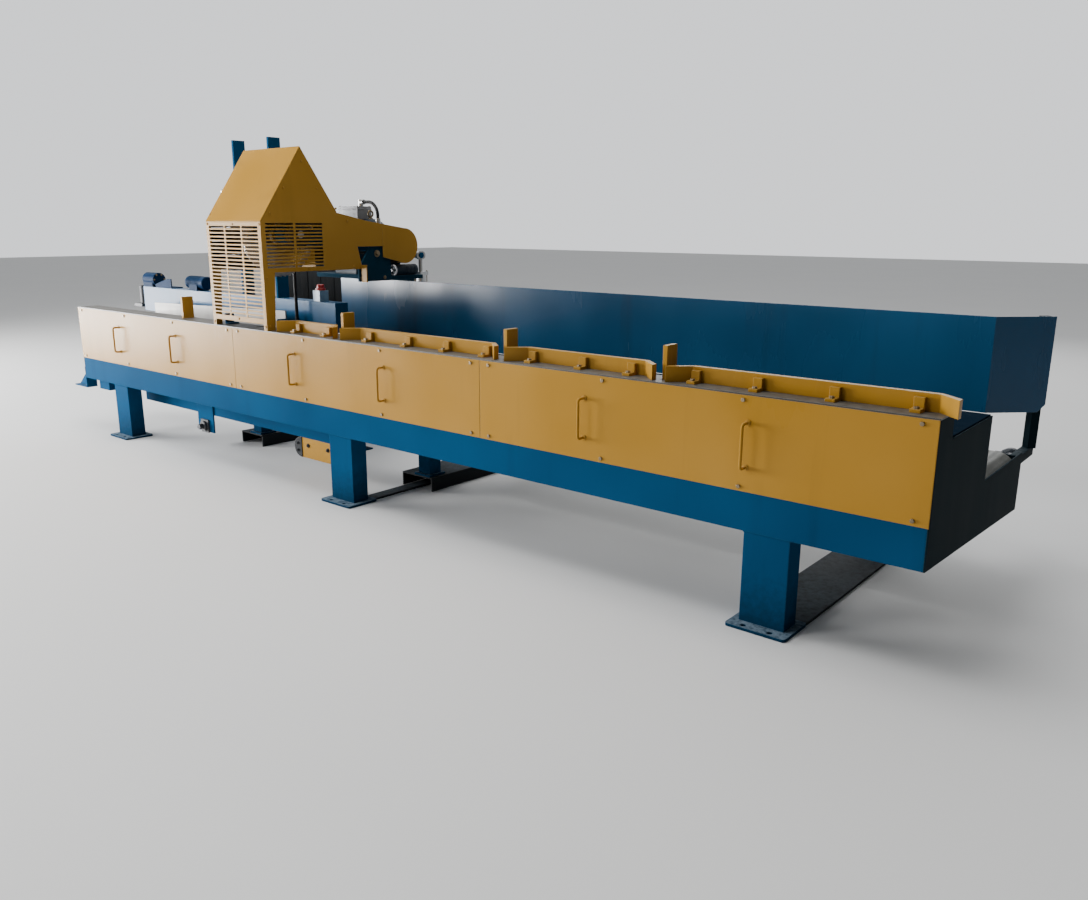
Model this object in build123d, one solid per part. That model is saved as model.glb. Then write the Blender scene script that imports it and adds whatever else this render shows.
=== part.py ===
from build123d import *
import math
import os

# Cut-off saw with its roller table and take-away conveyor, in millimetres.
# +X runs along the table to the right as seen from the front, +Y to the rear, +Z up.
# While modelling, X = 0 is the table's right end, Y = 0 the face of the front covers, Z = 0 the floor.

# Table and its front cabinet
table_length = 6100.0
table_height = 903.0
cabinet_depth = 150.0
beam_bottom = 377.0
beam_height = 153.5
beam_wall = 8.0
strip_thickness = 6.0
back_plate_thickness = 8.0
end_plate_thickness = 6.0
end_plate_rear_bottom = 300.0
cabinet_flange = 40.0
cabinet_sheet = 6.0
post_width = 60.0

# Front covers
cover_count = 3
cover_thickness = 3.0
cover_seam = 3.0
cover_bolt_count = 4
cover_bolt_inset = 56.0
cover_bolt_edge = 18.0
bolt_radius = 8.0
bolt_head = 6.0
handle_spacing = 755.0
handle_shift = -34.0
handle_lift = 94.5
handle_height = 170.0
handle_reach = 43.0
handle_radius = 6.0
handle_bend = 14.0

# Front legs
front_leg_share = (0.9298, 0.5233, 0.1095)
leg_width = 187.0
leg_depth = 100.0
leg_front_y = 10.0
leg_wall = 8.0
foot_width = 250.0
foot_depth = 200.0
foot_thickness = 12.0
foot_front_y = -50.0
foot_corner = 14.0
foot_hole_radius = 11.0
foot_hole_spacing_x = 110.0
foot_hole_spacing_y = 155.0

# Rear frame and floor sills
rear_leg_size = 90.0
rear_leg_wall = 6.0
rear_leg_left_share = 0.7607
rear_leg_right_share = 0.4844
rear_leg_front_y = 490.0
rear_foot_margin = 18.0
outer_leg_front_y = 1240.0
rear_frame_top = 560.0
rear_frame_beam = 80.0
conveyor_leg_share = 0.0984
sill_height = 80.0
sill_wall = 8.0
sill_width = 250.0
sill_left_reach = 165.0
sill_front_y = 470.0
sill_rear_y = 1450.0
floor_strip_thickness = 10.0
floor_strip_width = 246.0
floor_bar_width = 80.0
floor_bar_offset = 62.0
floor_bar_rear_y = 630.0

# Roller bed
deck_drop = 87.0
deck_thickness = 6.0
ledger_depth = 40.0
rail_thickness = 8.0
rail_flange = 50.0
bed_rear_y = 655.0
cross_member_width = 60.0
cross_member_height = 60.0
cross_member_share = (0.8852, 0.7246, 0.5607, 0.4098, 0.2459, 0.0574)
roller_share = (0.9508, 0.5738, 0.1148)
roller_radius = 57.0
roller_rise = 6.0
roller_gap = 12.0
roller_end_gap = 14.0
roller_shaft_radius = 17.5
sprocket_radius = 46.0
sprocket_thickness = 9.0
sprocket_y = 30.0
chain_thickness = 8.0
chain_width = 14.0
running_fit = 0.05
part_gap = 0.4

# Flange bearings, used on every shaft that lies across the table
bearing_size = 88.0
bearing_flange = 12.0
bearing_length = 28.0
bearing_boss_radius = 34.0

# Fence and kickers
kicker_share = (0.5082, 0.3164, 0.1770)
guide_post_share = 0.7770
kicker_thickness = 20.0
kicker_slot = 34.0
kicker_slot_lift = 45.0
kicker_front_y = 65.0
kicker_width = 75.0
kicker_rise = 137.0
kicker_pivot_y = 275.0
kicker_pivot_z = 480.0
kicker_elbow_drop = 113.0
kicker_shaft_radius = 25.0
kicker_hub_radius = 48.0
kicker_hub_length = 60.0
fence_front_y = 95.0
fence_thickness = 25.0
fence_height = 62.0
fence_flare = 80.0
fence_flare_reach = 75.0
fence_overhang = 45.0
fence_kicker_gap = 30.0
fence_bracket_share = (0.5770, 0.5331, 0.4754, 0.4266, 0.3815, 0.3382, 0.2918,
                       0.2459, 0.2048, 0.1551, 0.1118, 0.0634, 0.0159)
fence_bracket_width = 36.0
fence_bracket_reach = 55.0
fence_bracket_height = 48.0
fence_bracket_foot = 12.0

# Under the table
sub_rail_left_share = 0.9180
sub_rail_right_share = 0.5164
sub_rail_front_y = 200.0
sub_rail_depth = 80.0
sub_rail_bottom = 245.0
hanger_share = 0.7844
hanger_width = 190.0
hanger_thickness = 10.0
hanger_bottom = 124.0
hanger_bore_z = 165.0
chain_guard_left_share = 0.6225
chain_guard_right_share = 0.5270
chain_guard_bottom = 118.0
chain_guard_height = 125.0
chain_guard_depth = 70.0
chain_guard_wall = 3.0
left_bracket_length = 200.0
left_bracket_depth = 80.0
left_bracket_bottom = 300.0
left_bracket_height = 157.0

# Rear beam of the infeed side and what stands on it
rear_beam_overhang = 250.0
rear_beam_arm_gap = 45.0
rear_beam_front_y = 640.0
rear_beam_depth = 100.0
rear_beam_rise = 107.0
rear_beam_height = 190.0
rear_beam_wall = 6.0
side_plate_inset = 100.0
side_plate_hood_gap = 40.0
side_plate_y = 540.0
side_plate_thickness = 10.0
side_plate_gap = 12.0
side_plate_rise = 42.0
side_plate_left_rise = 2.0
upright_share = (0.8098, 0.7426)
upright_thickness = 20.0
upright_depth = 90.0
upright_rise = 1147.0
crosshead_rise = 497.0
crosshead_thickness = 30.0
crosshead_front_y = 420.0
clamp_y = 480.0
clamp_cylinder_radius = 40.0
clamp_cylinder_height = 280.0
clamp_rod_radius = 14.0
clamp_shoe_length = 250.0
clamp_shoe_depth = 200.0
clamp_shoe_thickness = 24.0
clamp_shoe_rise = 312.0
estop_arm_gap = 255.0
estop_box_size = 70.0
estop_button_radius = 24.0
estop_stem_radius = 11.0
estop_stem_height = 26.0
estop_cap_height = 26.0
estop_travel = 8.0

# Take-away conveyor behind the bed
conveyor_leg_gap = 100.0
conveyor_rail_front_y = 680.0
conveyor_bracket_height = 60.0
conveyor_right_x = -14.0
conveyor_belt_top = 550.0
conveyor_belt_thickness = 6.0
pulley_radius = 75.0
pulley_shaft_radius = 20.0
conveyor_rail_height = 150.0
conveyor_rail_drop = 10.0
conveyor_rail_gap = 12.0
slider_thickness = 6.0
gearbox_size = 90.0
gearbox_length = 110.0
gearbox_drop = 70.0
gearmotor_radius = 45.0
gearmotor_length = 110.0

# Back wall
wall_left_share = 0.7557
wall_bend_x = -170.0
wall_flare_x = 195.0
wall_flare_y = 190.0
wall_y = 1250.0
wall_thickness = 4.0
wall_bottom = 705.0
wall_top = 1125.0
wall_corner_cut = 34.0
wall_post_width = 40.0

# Saw unit: drive axis, swing arm and blade
drive_y = 1065.0
drive_rise = 462.0
arbor_y = 285.0
arbor_rise = 537.0
belt_offset = 100.0
blade_offset = 95.0
blade_radius = 254.0
blade_thickness = 4.5
blade_teeth = 48
blade_tooth_depth = 9.0
blade_slot = 30.0
blade_slot_drop = 43.0
arm_share = 0.6320
arm_thickness = 50.0
arm_height = 100.0
arm_wall = 8.0
arm_hub_radius = 62.0
arm_hub_length = 60.0
arbor_housing_length = 90.0
drive_shaft_radius = 25.0
arbor_radius = 22.0
collar_radius = 60.0
collar_thickness = 14.0
sheave_radius = 75.0
sheave_width = 40.0
groove_depth = 11.0
groove_width = 24.0
drive_belt_width = 22.0
drive_belt_thickness = 9.0
pillow_width = 34.0
pillow_half_length = 90.0
pillow_foot = 25.0
pillow_drop = 110.0
pillow_stand_rear = 35.0

# Drive motor with its terminal box and conduit
motor_radius = 168.0
motor_length = 430.0
motor_offset = 75.0
motor_bell_length = 80.0
motor_bell_radius = 110.0
motor_fin_count = 40
motor_fin_height = 8.0
motor_fin_width = 5.0
motor_cover_length = 70.0
motor_foot_drop = 190.0
motor_foot_half = 130.0
terminal_box_length = 200.0
terminal_box_depth = 120.0
terminal_box_offset = 335.0
terminal_box_rise = 250.0
conduit_radius = 11.0
conduit_end_inset = 25.0
conduit_rise = 27.0
conduit_bend = 88.0
drop_conduit_y = 585.0
drop_conduit_overlap = 100.0
conduit_clip = 30.0
fitting_radius = 17.0
fitting_length = 22.0

# Saw pedestal
pedestal_left_reach = 565.0
pedestal_right_reach = 133.0
pedestal_front_y = 665.0
pedestal_plate = 25.0
pedestal_column_gap = 45.0
pedestal_column_depth = 136.0
pedestal_column_wall = 10.0
column_wall_gap = 10.0
saw_base_front_y = 900.0
saw_base_rear_y = 1235.0
cheek_thickness = 12.0
cheek_front_y = 690.0
cheek_rear_y = 948.0
cheek_drop = 5.0
cheek_shoulder_y = 780.0
pump_offset = 105.0
pump_radius = 35.0
pump_front_y = 1005.0
pump_rear_y = 1190.0

# Hood over the blade
hood_left_reach = 405.0
hood_right_reach = 155.0
hood_sheet = 3.0
hood_eave_rise = 607.0
hood_ridge_y = 290.0
hood_ridge_rise = 1022.0
hood_rear_y = 530.0
hood_rear_rise = 663.0
hood_bottom_rise = 327.0
hood_leg_depth = 75.0
hood_leg_width = 32.0
hood_bar_rise = 37.0
hood_inner_rear_y = 610.0
hood_flange = 240.0
hood_foot_y = 700.0
hood_foot_width = 50.0
hood_foot_thickness = 6.0
front_slot_columns = 3
front_slot_rows = 24
front_grille_rise = 67.0
front_grille_edge = 23.0
front_grille_margin = 30.0
side_slot_columns = 2
side_slot_rows = 13
side_grille_front_y = 30.0
side_grille_rear_y = 420.0
side_grille_rise = 25.0
side_grille_edge = 5.0
slot_bar = 9.0
slot_column_bar = 14.0
tail_radius = 111.0
tail_top_y = 755.0
tail_top_rise = 617.0
tail_seam_y = 880.0
tail_seam_top_rise = 599.0
tail_seam_bottom_rise = 394.0
notch_front_y = 678.0
notch_rise = 462.0
tail_depth = 80.0

# Feed cylinder that swings the arm down, and how far it swings
saw_swing = 32.4
feed_offset = 45.0
feed_y = 1300.0
feed_bracket_drop = 415.0
feed_bracket_thickness = 30.0
feed_bracket_half = 40.0
feed_barrel_radius = 32.0
feed_barrel_length = 240.0
feed_rod_radius = 14.0
feed_pin_radius = 12.0
feed_pin_play = 1.0
feed_eye_wall = 14.0
feed_eye_thickness = 18.0
feed_eye_slot = 24.0
lever_thickness = 24.0
lever_height = 44.0

# Infeed drive at the left end of the rear beam
infeed_gear_inset = 50.0
infeed_motor_inset = 750.0
infeed_motor_radius = 48.0
infeed_motor_length = 220.0
infeed_post_reach = 90.0
infeed_post_radius = 34.0
infeed_post_drop = 58.0

# Places along the table, each a share of its length from the right end
left_end = -table_length
front_legs_left_x = [-table_length * share for share in front_leg_share]
rear_leg_left_x = -table_length * rear_leg_left_share
rear_leg_right_x = -table_length * rear_leg_right_share
conveyor_leg_x = -table_length * conveyor_leg_share
cross_member_x = [-table_length * share for share in cross_member_share]
roller_x = [-table_length * share for share in roller_share]
kicker_x = [-table_length * share for share in kicker_share]
guide_post_x = -table_length * guide_post_share
fence_bracket_x = [-table_length * share for share in fence_bracket_share]
sub_rail_left_x = -table_length * sub_rail_left_share
sub_rail_right_x = -table_length * sub_rail_right_share
hanger_x = -table_length * hanger_share
chain_guard_left_x = -table_length * chain_guard_left_share
chain_guard_right_x = -table_length * chain_guard_right_share
upright_x = [-table_length * share for share in upright_share]
wall_left_x = -table_length * wall_left_share
arm_x = -table_length * arm_share
conveyor_left_x = rear_leg_right_x + conveyor_leg_gap

# Places along the saw unit, from the middle of its arm
belt_x = arm_x + belt_offset
blade_x = arm_x - blade_offset
motor_right_x = arm_x - motor_offset
conduit_end_x = motor_right_x - conduit_end_inset
terminal_box_x = arm_x - terminal_box_offset
pedestal_left_x = arm_x - pedestal_left_reach
pedestal_right_x = arm_x + pedestal_right_reach
hood_left_x = arm_x - hood_left_reach
hood_right_x = arm_x + hood_right_reach
feed_x = arm_x + feed_offset
estop_x = arm_x - estop_arm_gap
rear_beam_left_x = left_end - rear_beam_overhang
rear_beam_right_x = arm_x - rear_beam_arm_gap
side_plate_left_x = left_end + side_plate_inset
side_plate_right_x = hood_left_x - side_plate_hood_gap
infeed_gear_x = rear_beam_left_x + infeed_gear_inset
infeed_motor_x = rear_beam_left_x + infeed_motor_inset
infeed_post_x = rear_beam_left_x - infeed_post_reach

# Heights that go with the table's height
deck_top = table_height - deck_drop
kicker_top = table_height + kicker_rise
kicker_elbow_z = table_height - kicker_elbow_drop
rear_beam_top = table_height + rear_beam_rise
side_plate_bottom = deck_top + side_plate_gap
side_plate_top = table_height + side_plate_rise
side_plate_left_top = table_height + side_plate_left_rise
upright_top = table_height + upright_rise
crosshead_z = table_height + crosshead_rise
clamp_shoe_bottom = table_height + clamp_shoe_rise
infeed_post_bottom = table_height - infeed_post_drop
drive_z = table_height + drive_rise
arbor_z = table_height + arbor_rise
blade_slot_bottom = table_height - blade_slot_drop
terminal_box_top = drive_z + terminal_box_rise
conduit_top = terminal_box_top + conduit_rise
cheek_top = drive_z - cheek_drop
feed_bracket_z = drive_z - feed_bracket_drop
hood_eave_z = table_height + hood_eave_rise
hood_ridge_z = table_height + hood_ridge_rise
hood_rear_z = table_height + hood_rear_rise
hood_bottom = table_height + hood_bottom_rise
hood_bar_bottom = table_height + hood_bar_rise
front_grille_bottom = table_height + front_grille_rise
front_grille_top = hood_eave_z - front_grille_edge
side_grille_bottom = hood_bottom + side_grille_rise
side_grille_top = hood_eave_z - side_grille_edge
tail_top_z = table_height + tail_top_rise
tail_seam_top_z = table_height + tail_seam_top_rise
tail_seam_bottom_z = table_height + tail_seam_bottom_rise
notch_top = table_height + notch_rise

# Places that follow from the sizes above
inner_left = left_end + end_plate_thickness
inner_right = -end_plate_thickness
beam_top = beam_bottom + beam_height
handle_bottom = beam_top + handle_lift
kicker_slot_bottom = beam_top + kicker_slot_lift
strip_bottom = table_height - strip_thickness
back_plate_front = cabinet_depth - back_plate_thickness
deck_bottom = deck_top - deck_thickness
roller_z = deck_top + roller_rise - roller_radius
chain_y = sprocket_y + sprocket_thickness / 2
pulley_z = conveyor_belt_top - conveyor_belt_thickness - pulley_radius
belt_outer_radius = pulley_radius + conveyor_belt_thickness
head_x = conveyor_right_x - belt_outer_radius
tail_x = conveyor_left_x + belt_outer_radius
conveyor_rail_rear_y = outer_leg_front_y - rail_thickness
conveyor_rail_left_x = rear_leg_right_x - rear_leg_size / 2
belt_front_y = conveyor_rail_front_y + rail_thickness + conveyor_rail_gap
belt_rear_y = conveyor_rail_rear_y - conveyor_rail_gap
conveyor_rail_top = conveyor_belt_top - conveyor_rail_drop
conveyor_rail_bottom = conveyor_rail_top - conveyor_rail_height
gearbox_y = outer_leg_front_y + bearing_length + conveyor_rail_gap
arm_length = math.hypot(drive_y - arbor_y, arbor_z - drive_z)
arm_rise = math.degrees(math.atan2(arbor_z - drive_z, drive_y - arbor_y))
feed_pin_z = drive_z - (feed_y - drive_y) * math.tan(math.radians(saw_swing / 2))
pedestal_column_front_y = wall_y + wall_thickness + column_wall_gap
pedestal_column_rear_y = pedestal_column_front_y + pedestal_column_depth
pedestal_column_right_x = arm_x - pedestal_column_gap
housing_half = arbor_housing_length / 2
hub_right_x = arm_x + arm_hub_length / 2
hub_left_x = arm_x - arm_hub_length / 2
saw_base_z = drive_z - motor_foot_drop
wall_end_y = wall_y + wall_flare_y

kicker_bearing_x = cross_member_x[3:5]
kicker_actuator_x = cross_member_x[5]
wall_angle = math.degrees(math.atan2(wall_flare_y, wall_flare_x))
pieces = {}


# Small helpers

def keep(name, *shapes):
    solids = [solid for shape in shapes for solid in shape.solids()]
    pieces[name] = solids[0] if len(solids) == 1 else Compound(solids)


def block(x0, x1, y0, y1, z0, z1):
    return Pos((x0 + x1) / 2, (y0 + y1) / 2, (z0 + z1) / 2) * Box(x1 - x0, y1 - y0, z1 - z0)


def rod_x(x0, x1, y, z, radius):
    return Pos((x0 + x1) / 2, y, z) * Rot(0, 90, 0) * Cylinder(radius, x1 - x0)


def rod_y(x, y0, y1, z, radius):
    return Pos(x, (y0 + y1) / 2, z) * Rot(90, 0, 0) * Cylinder(radius, y1 - y0)


def rod_z(x, y, z0, z1, radius):
    return Pos(x, y, (z0 + z1) / 2) * Cylinder(radius, z1 - z0)


def outline(points):
    return make_face(Polyline(*points, close=True))


def plate_x(face, x0, x1):
    return extrude(Plane.YZ.offset(x0) * face, amount=x1 - x0)


def plate_y(face, y0, y1):
    return extrude(Plane.XZ.offset(-y1) * face, amount=y1 - y0)


def plate_z(face, z0, z1):
    return extrude(Plane.XY.offset(z0) * face, amount=z1 - z0)


def tube_x(x0, x1, y0, y1, z0, z1, wall):
    return block(x0, x1, y0, y1, z0, z1) - block(x0, x1, y0 + wall, y1 - wall, z0 + wall, z1 - wall)


def tube_y(x0, x1, y0, y1, z0, z1, wall):
    return block(x0, x1, y0, y1, z0, z1) - block(x0 + wall, x1 - wall, y0, y1, z0 + wall, z1 - wall)


def tube_z(x0, x1, y0, y1, z0, z1, wall):
    return block(x0, x1, y0, y1, z0, z1) - block(x0 + wall, x1 - wall, y0 + wall, y1 - wall, z0, z1)


def loop_band(length, inner, thickness):
    """Face of a belt or chain round two equal wheels, centred between them, along local X."""
    outer = SlotCenterToCenter(length, 2 * (inner + thickness))
    return outer - SlotCenterToCenter(length, 2 * inner)


def flange_bearing(x, y, z, radius, side):
    """Bearing whose flange lies on the face at y, with its boss on the given side, +1 to the rear."""
    half = bearing_size / 2
    y_flange = sorted((y, y + side * bearing_flange))
    y_boss = sorted((y, y + side * bearing_length))
    body = block(x - half, x + half, *y_flange, z - half, z + half)
    body += rod_y(x, *y_boss, z, bearing_boss_radius)
    return body - rod_y(x, *y_boss, z, radius + running_fit)


def hex_head(x, y, z, radius, height):
    return plate_y(Pos(x, z) * RegularPolygon(radius, 6), y - height, y)


# Front beam, cabinet and covers

def cover_seams():
    return [left_end + table_length * number / cover_count for number in range(cover_count + 1)]


def cover_bolt_places():
    """Places of the cover bolts as (x, z), for all covers."""
    seams = cover_seams()
    places = []
    for left, right in zip(seams, seams[1:]):
        step = (right - left - 2 * cover_bolt_inset) / (cover_bolt_count - 1)
        for number in range(cover_bolt_count):
            x = left + cover_bolt_inset + number * step
            places += [(x, strip_bottom - cover_bolt_edge), (x, beam_top + cover_bolt_edge)]
    return places


def spans(left, right, gaps):
    """Lengths that remain between left and right without the gaps, given as (middle, half width)."""
    lengths = []
    start = left
    for x, half in sorted(gaps):
        lengths.append((start, x - half))
        start = x + half
    return lengths + [(start, right)]


def kicker_gaps():
    return [(x, kicker_slot / 2) for x in kicker_x]


def back_plates():
    """The sheet behind the covers, parted at the slots, with bores for the roller shafts."""
    blade_half = blade_slot / 2
    slots = kicker_gaps() + [(blade_x, blade_half)]
    plates = [block(inner_left, inner_right, back_plate_front, cabinet_depth, beam_top, kicker_slot_bottom),
              block(blade_x - blade_half, blade_x + blade_half, back_plate_front, cabinet_depth,
                    kicker_slot_bottom, blade_slot_bottom)]
    for left, right in spans(inner_left, inner_right, slots):
        plate = block(left, right, back_plate_front, cabinet_depth, kicker_slot_bottom, strip_bottom)
        for x in roller_x:
            if left < x < right:
                plate -= rod_y(x, back_plate_front, cabinet_depth, roller_z, roller_shaft_radius * 1.3)
        plates.append(plate)
    return plates


def front_plates(centres):
    """Posts behind the cover seams and the flanges between them, with holes for the cover bolts."""
    half = post_width / 2
    places = [(x - half, x + half, beam_top, strip_bottom) for x in centres]
    for left, right in zip(centres, centres[1:]):
        for bottom in (beam_top, strip_bottom - cabinet_flange):
            places.append((left + half, right - half, bottom, bottom + cabinet_flange))
    shank = bolt_radius / 2 + running_fit
    plates = []
    for left, right, bottom, top in places:
        plate = block(left, right, cover_thickness, cover_thickness + cabinet_sheet, bottom, top)
        for x, z in cover_bolt_places():
            if left < x < right and bottom < z < top:
                plate -= rod_y(x, cover_thickness, cover_thickness + cabinet_sheet, z, shank)
        plates.append(plate)
    return plates


def make_cabinet():
    """Welded from flat plates, so the slots of the kickers and of the blade stay open."""
    half = post_width / 2
    centres = [inner_left + half] + cover_seams()[1:-1] + [inner_right - half]
    plates = back_plates() + front_plates(centres)
    for left, right in spans(inner_left, inner_right, kicker_gaps()):
        plates.append(block(left, right, cabinet_depth, cabinet_depth + ledger_depth,
                            deck_bottom - deck_thickness, deck_bottom))
    flange_rear = cover_thickness + cabinet_sheet
    window_half = sprocket_radius + 2 * chain_thickness
    for x in centres:
        web = block(x - cabinet_sheet / 2, x + cabinet_sheet / 2, flange_rear, back_plate_front,
                    beam_top, strip_bottom)
        plates.append(web - block(x - half, x + half, flange_rear, chain_y + 2 * chain_width,
                                  roller_z - window_half, roller_z + window_half))
    keep("cabinet_frame", *plates)


def make_top_strip():
    """Lengths of flat bar between the slots, with a short bridge in front of each slot."""
    kicker_front = kicker_front_y - kicker_thickness / 4
    bridges = [(x, half, kicker_front) for x, half in kicker_gaps()]
    bridges.append((blade_x, blade_slot / 2, fence_front_y + part_gap))
    bars = [block(x - half, x + half, 0, front, strip_bottom, table_height) for x, half, front in bridges]
    gaps = [(x, half) for x, half, front in bridges]
    for left, right in spans(left_end, 0, gaps):
        bars.append(block(left, right, 0, cabinet_depth, strip_bottom, table_height))
    keep("top_strip", *bars)


def make_covers():
    seams = cover_seams()
    names = ("cover_panel_left", "cover_panel_middle", "cover_panel_right")
    handles = []
    for name, left, right in zip(names, seams, seams[1:]):
        panel = block(left + cover_seam / 2, right - cover_seam / 2, 0, cover_thickness, beam_top,
                      strip_bottom)
        for x, z in cover_bolt_places():
            if left < x < right:
                panel -= rod_y(x, 0, cover_thickness, z, bolt_radius / 2 + running_fit)
        keep(name, panel)
        middle = (left + right) / 2 + handle_shift
        handles += [make_handle(middle - handle_spacing / 2), make_handle(middle + handle_spacing / 2)]
    keep("panel_handles", *handles)
    bolts = []
    for x, z in cover_bolt_places():
        shank = rod_y(x, 0, cover_thickness + cabinet_sheet + bolt_radius / 2, z, bolt_radius / 2)
        bolts.append(hex_head(x, 0, z, bolt_radius, bolt_head) + shank)
    for x in fence_bracket_x:
        top = table_height + fence_bracket_foot
        face = Pos(x, fence_front_y - 0.7 * fence_bracket_reach) * RegularPolygon(1.3 * bolt_radius, 6)
        bolts.append(plate_z(face, top, top + 1.2 * bolt_head))
    keep("hex_bolts", *bolts)


def make_handle(x):
    """Bent bar that stands on its two feet on a cover."""
    top = handle_bottom + handle_height
    path = FilletPolyline((x, 0, handle_bottom), (x, -handle_reach, handle_bottom),
                          (x, -handle_reach, top), (x, 0, top), radius=handle_bend)
    bar = sweep(Plane(origin=(x, 0, handle_bottom), z_dir=(0, -1, 0)) * Circle(handle_radius), path=path)
    for z in (handle_bottom, top):
        bar += rod_y(x, -0.6 * handle_radius, 0, z, 2 * handle_radius)
    return bar


def make_end_plates():
    """The right plate also closes the end of the take-away conveyor."""
    deck_edge = deck_bottom
    rear = outer_leg_front_y
    belt_edge = conveyor_belt_top + conveyor_belt_thickness
    front = cover_thickness
    right = outline([(front, beam_bottom), (front, strip_bottom), (cabinet_depth, strip_bottom),
                     (cabinet_depth, deck_edge), (bed_rear_y, deck_edge), (bed_rear_y, belt_edge),
                     (rear, belt_edge), (rear, end_plate_rear_bottom)])
    left = outline([(front, beam_bottom), (front, strip_bottom), (cabinet_depth, strip_bottom),
                    (cabinet_depth, deck_edge), (bed_rear_y, deck_edge), (bed_rear_y, beam_top),
                    (cabinet_depth, beam_bottom)])
    keep("end_plates", plate_x(right, inner_right, 0), plate_x(left, left_end, inner_left))


# Legs and sills

def make_front_legs():
    legs = []
    for left in front_legs_left_x:
        x = left + leg_width / 2
        leg = tube_z(left, left + leg_width, leg_front_y, leg_front_y + leg_depth, foot_thickness,
                     beam_bottom,
                     leg_wall)
        foot_y = foot_front_y + foot_depth / 2
        foot = Pos(x, foot_y) * RectangleRounded(foot_width, foot_depth, foot_corner)
        for sx in (-1, 1):
            for sy in (-1, 1):
                foot -= Pos(x + sx * foot_hole_spacing_x / 2, foot_y + sy * foot_hole_spacing_y / 2) \
                    * Circle(foot_hole_radius)
        legs.append(leg + plate_z(foot, 0, foot_thickness))
    keep("front_legs", *legs)


def rear_leg(x, front, bottom):
    half = rear_leg_size / 2
    reach = half + rear_foot_margin
    foot = block(x - reach, x + reach, front - rear_foot_margin, front + rear_leg_size + rear_foot_margin,
                 bottom, bottom + foot_thickness)
    return foot + tube_z(x - half, x + half, front, front + rear_leg_size, bottom, rear_frame_top,
                         rear_leg_wall)


def make_rear_legs():
    frame = None
    for x in (rear_leg_left_x, rear_leg_right_x):
        for front in (rear_leg_front_y, outer_leg_front_y):
            leg = rear_leg(x, front, sill_height)
            frame = leg if frame is None else frame + leg
    for front in (rear_leg_front_y, outer_leg_front_y):
        frame += tube_x(rear_leg_left_x, rear_leg_right_x, front, front + rear_leg_size,
                        rear_frame_top - rear_frame_beam, rear_frame_top, rear_leg_wall)
    half = rear_leg_size / 2
    frame += tube_y(rear_leg_right_x - half, rear_leg_right_x + half, rear_leg_front_y + rear_leg_size,
                    conveyor_rail_front_y, conveyor_rail_bottom,
                    conveyor_rail_bottom + conveyor_bracket_height, rear_leg_wall)
    keep("rear_legs", frame, rear_leg(conveyor_leg_x, outer_leg_front_y, floor_strip_thickness))


def make_sills():
    sills = []
    for x in (rear_leg_left_x, rear_leg_right_x):
        left = x - sill_left_reach
        sills.append(block(left, left + sill_width, sill_front_y, sill_rear_y, 0, sill_height)
                     - block(left + sill_wall, left + sill_width - sill_wall, sill_front_y, sill_rear_y,
                             0, sill_height - sill_wall))
    foot_rear = foot_front_y + foot_depth
    ties = ((front_legs_left_x[1], floor_bar_offset, floor_bar_width, floor_bar_rear_y),
            (front_legs_left_x[2], 0, floor_strip_width, sill_rear_y))
    for left, offset, width, rear in ties:
        x = left + leg_width / 2 + offset
        sills.append(block(x - width / 2, x + width / 2, foot_rear, rear, 0, floor_strip_thickness))
    keep("floor_sills", *sills)


# Roller bed

def make_bed():
    web_front = bed_rear_y - rail_thickness
    rail = block(inner_left, inner_right, web_front, bed_rear_y, rear_frame_top, deck_bottom)
    for z in (rear_frame_top, deck_bottom - rail_thickness):
        rail += block(inner_left, inner_right, bed_rear_y - rail_flange, bed_rear_y, z, z + rail_thickness)
    for x in cross_member_x:
        half = cross_member_width / 2
        rail += tube_y(x - half, x + half, cabinet_depth, web_front, rear_frame_top,
                       rear_frame_top + cross_member_height, rear_leg_wall)
    for x in roller_x:
        rail -= rod_y(x, web_front, bed_rear_y, roller_z, roller_shaft_radius * 1.3)
    keep("bed_frame", rail)
    gaps = [(x, roller_radius + roller_gap) for x in roller_x] + kicker_gaps() + [(blade_x, blade_slot / 2)]
    keep("bed_deck", *[block(left, right, cabinet_depth, web_front, deck_bottom, deck_top)
                       for left, right in spans(inner_left, inner_right, gaps)])


def make_rollers():
    """Driven rollers: each has its sprocket inside the cabinet, where one chain joins them."""
    front = cabinet_depth + ledger_depth + roller_end_gap
    rear = bed_rear_y - rail_flange - roller_end_gap
    teeth_y = sprocket_y + sprocket_thickness
    for number, x in enumerate(roller_x, 1):
        roller = rod_y(x, front, rear, roller_z, roller_radius)
        roller += rod_y(x, sprocket_y - sprocket_thickness, bed_rear_y + bearing_length + part_gap, roller_z,
                        roller_shaft_radius)
        roller += rod_y(x, sprocket_y, teeth_y, roller_z, sprocket_radius)
        keep(f"bed_roller_{number}", roller)
    length = roller_x[-1] - roller_x[0]
    band = Pos((roller_x[0] + roller_x[-1]) / 2, roller_z) \
        * loop_band(length, sprocket_radius + part_gap, chain_thickness)
    keep("roller_chain", plate_y(band, chain_y - chain_width / 2, chain_y + chain_width / 2))


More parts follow.
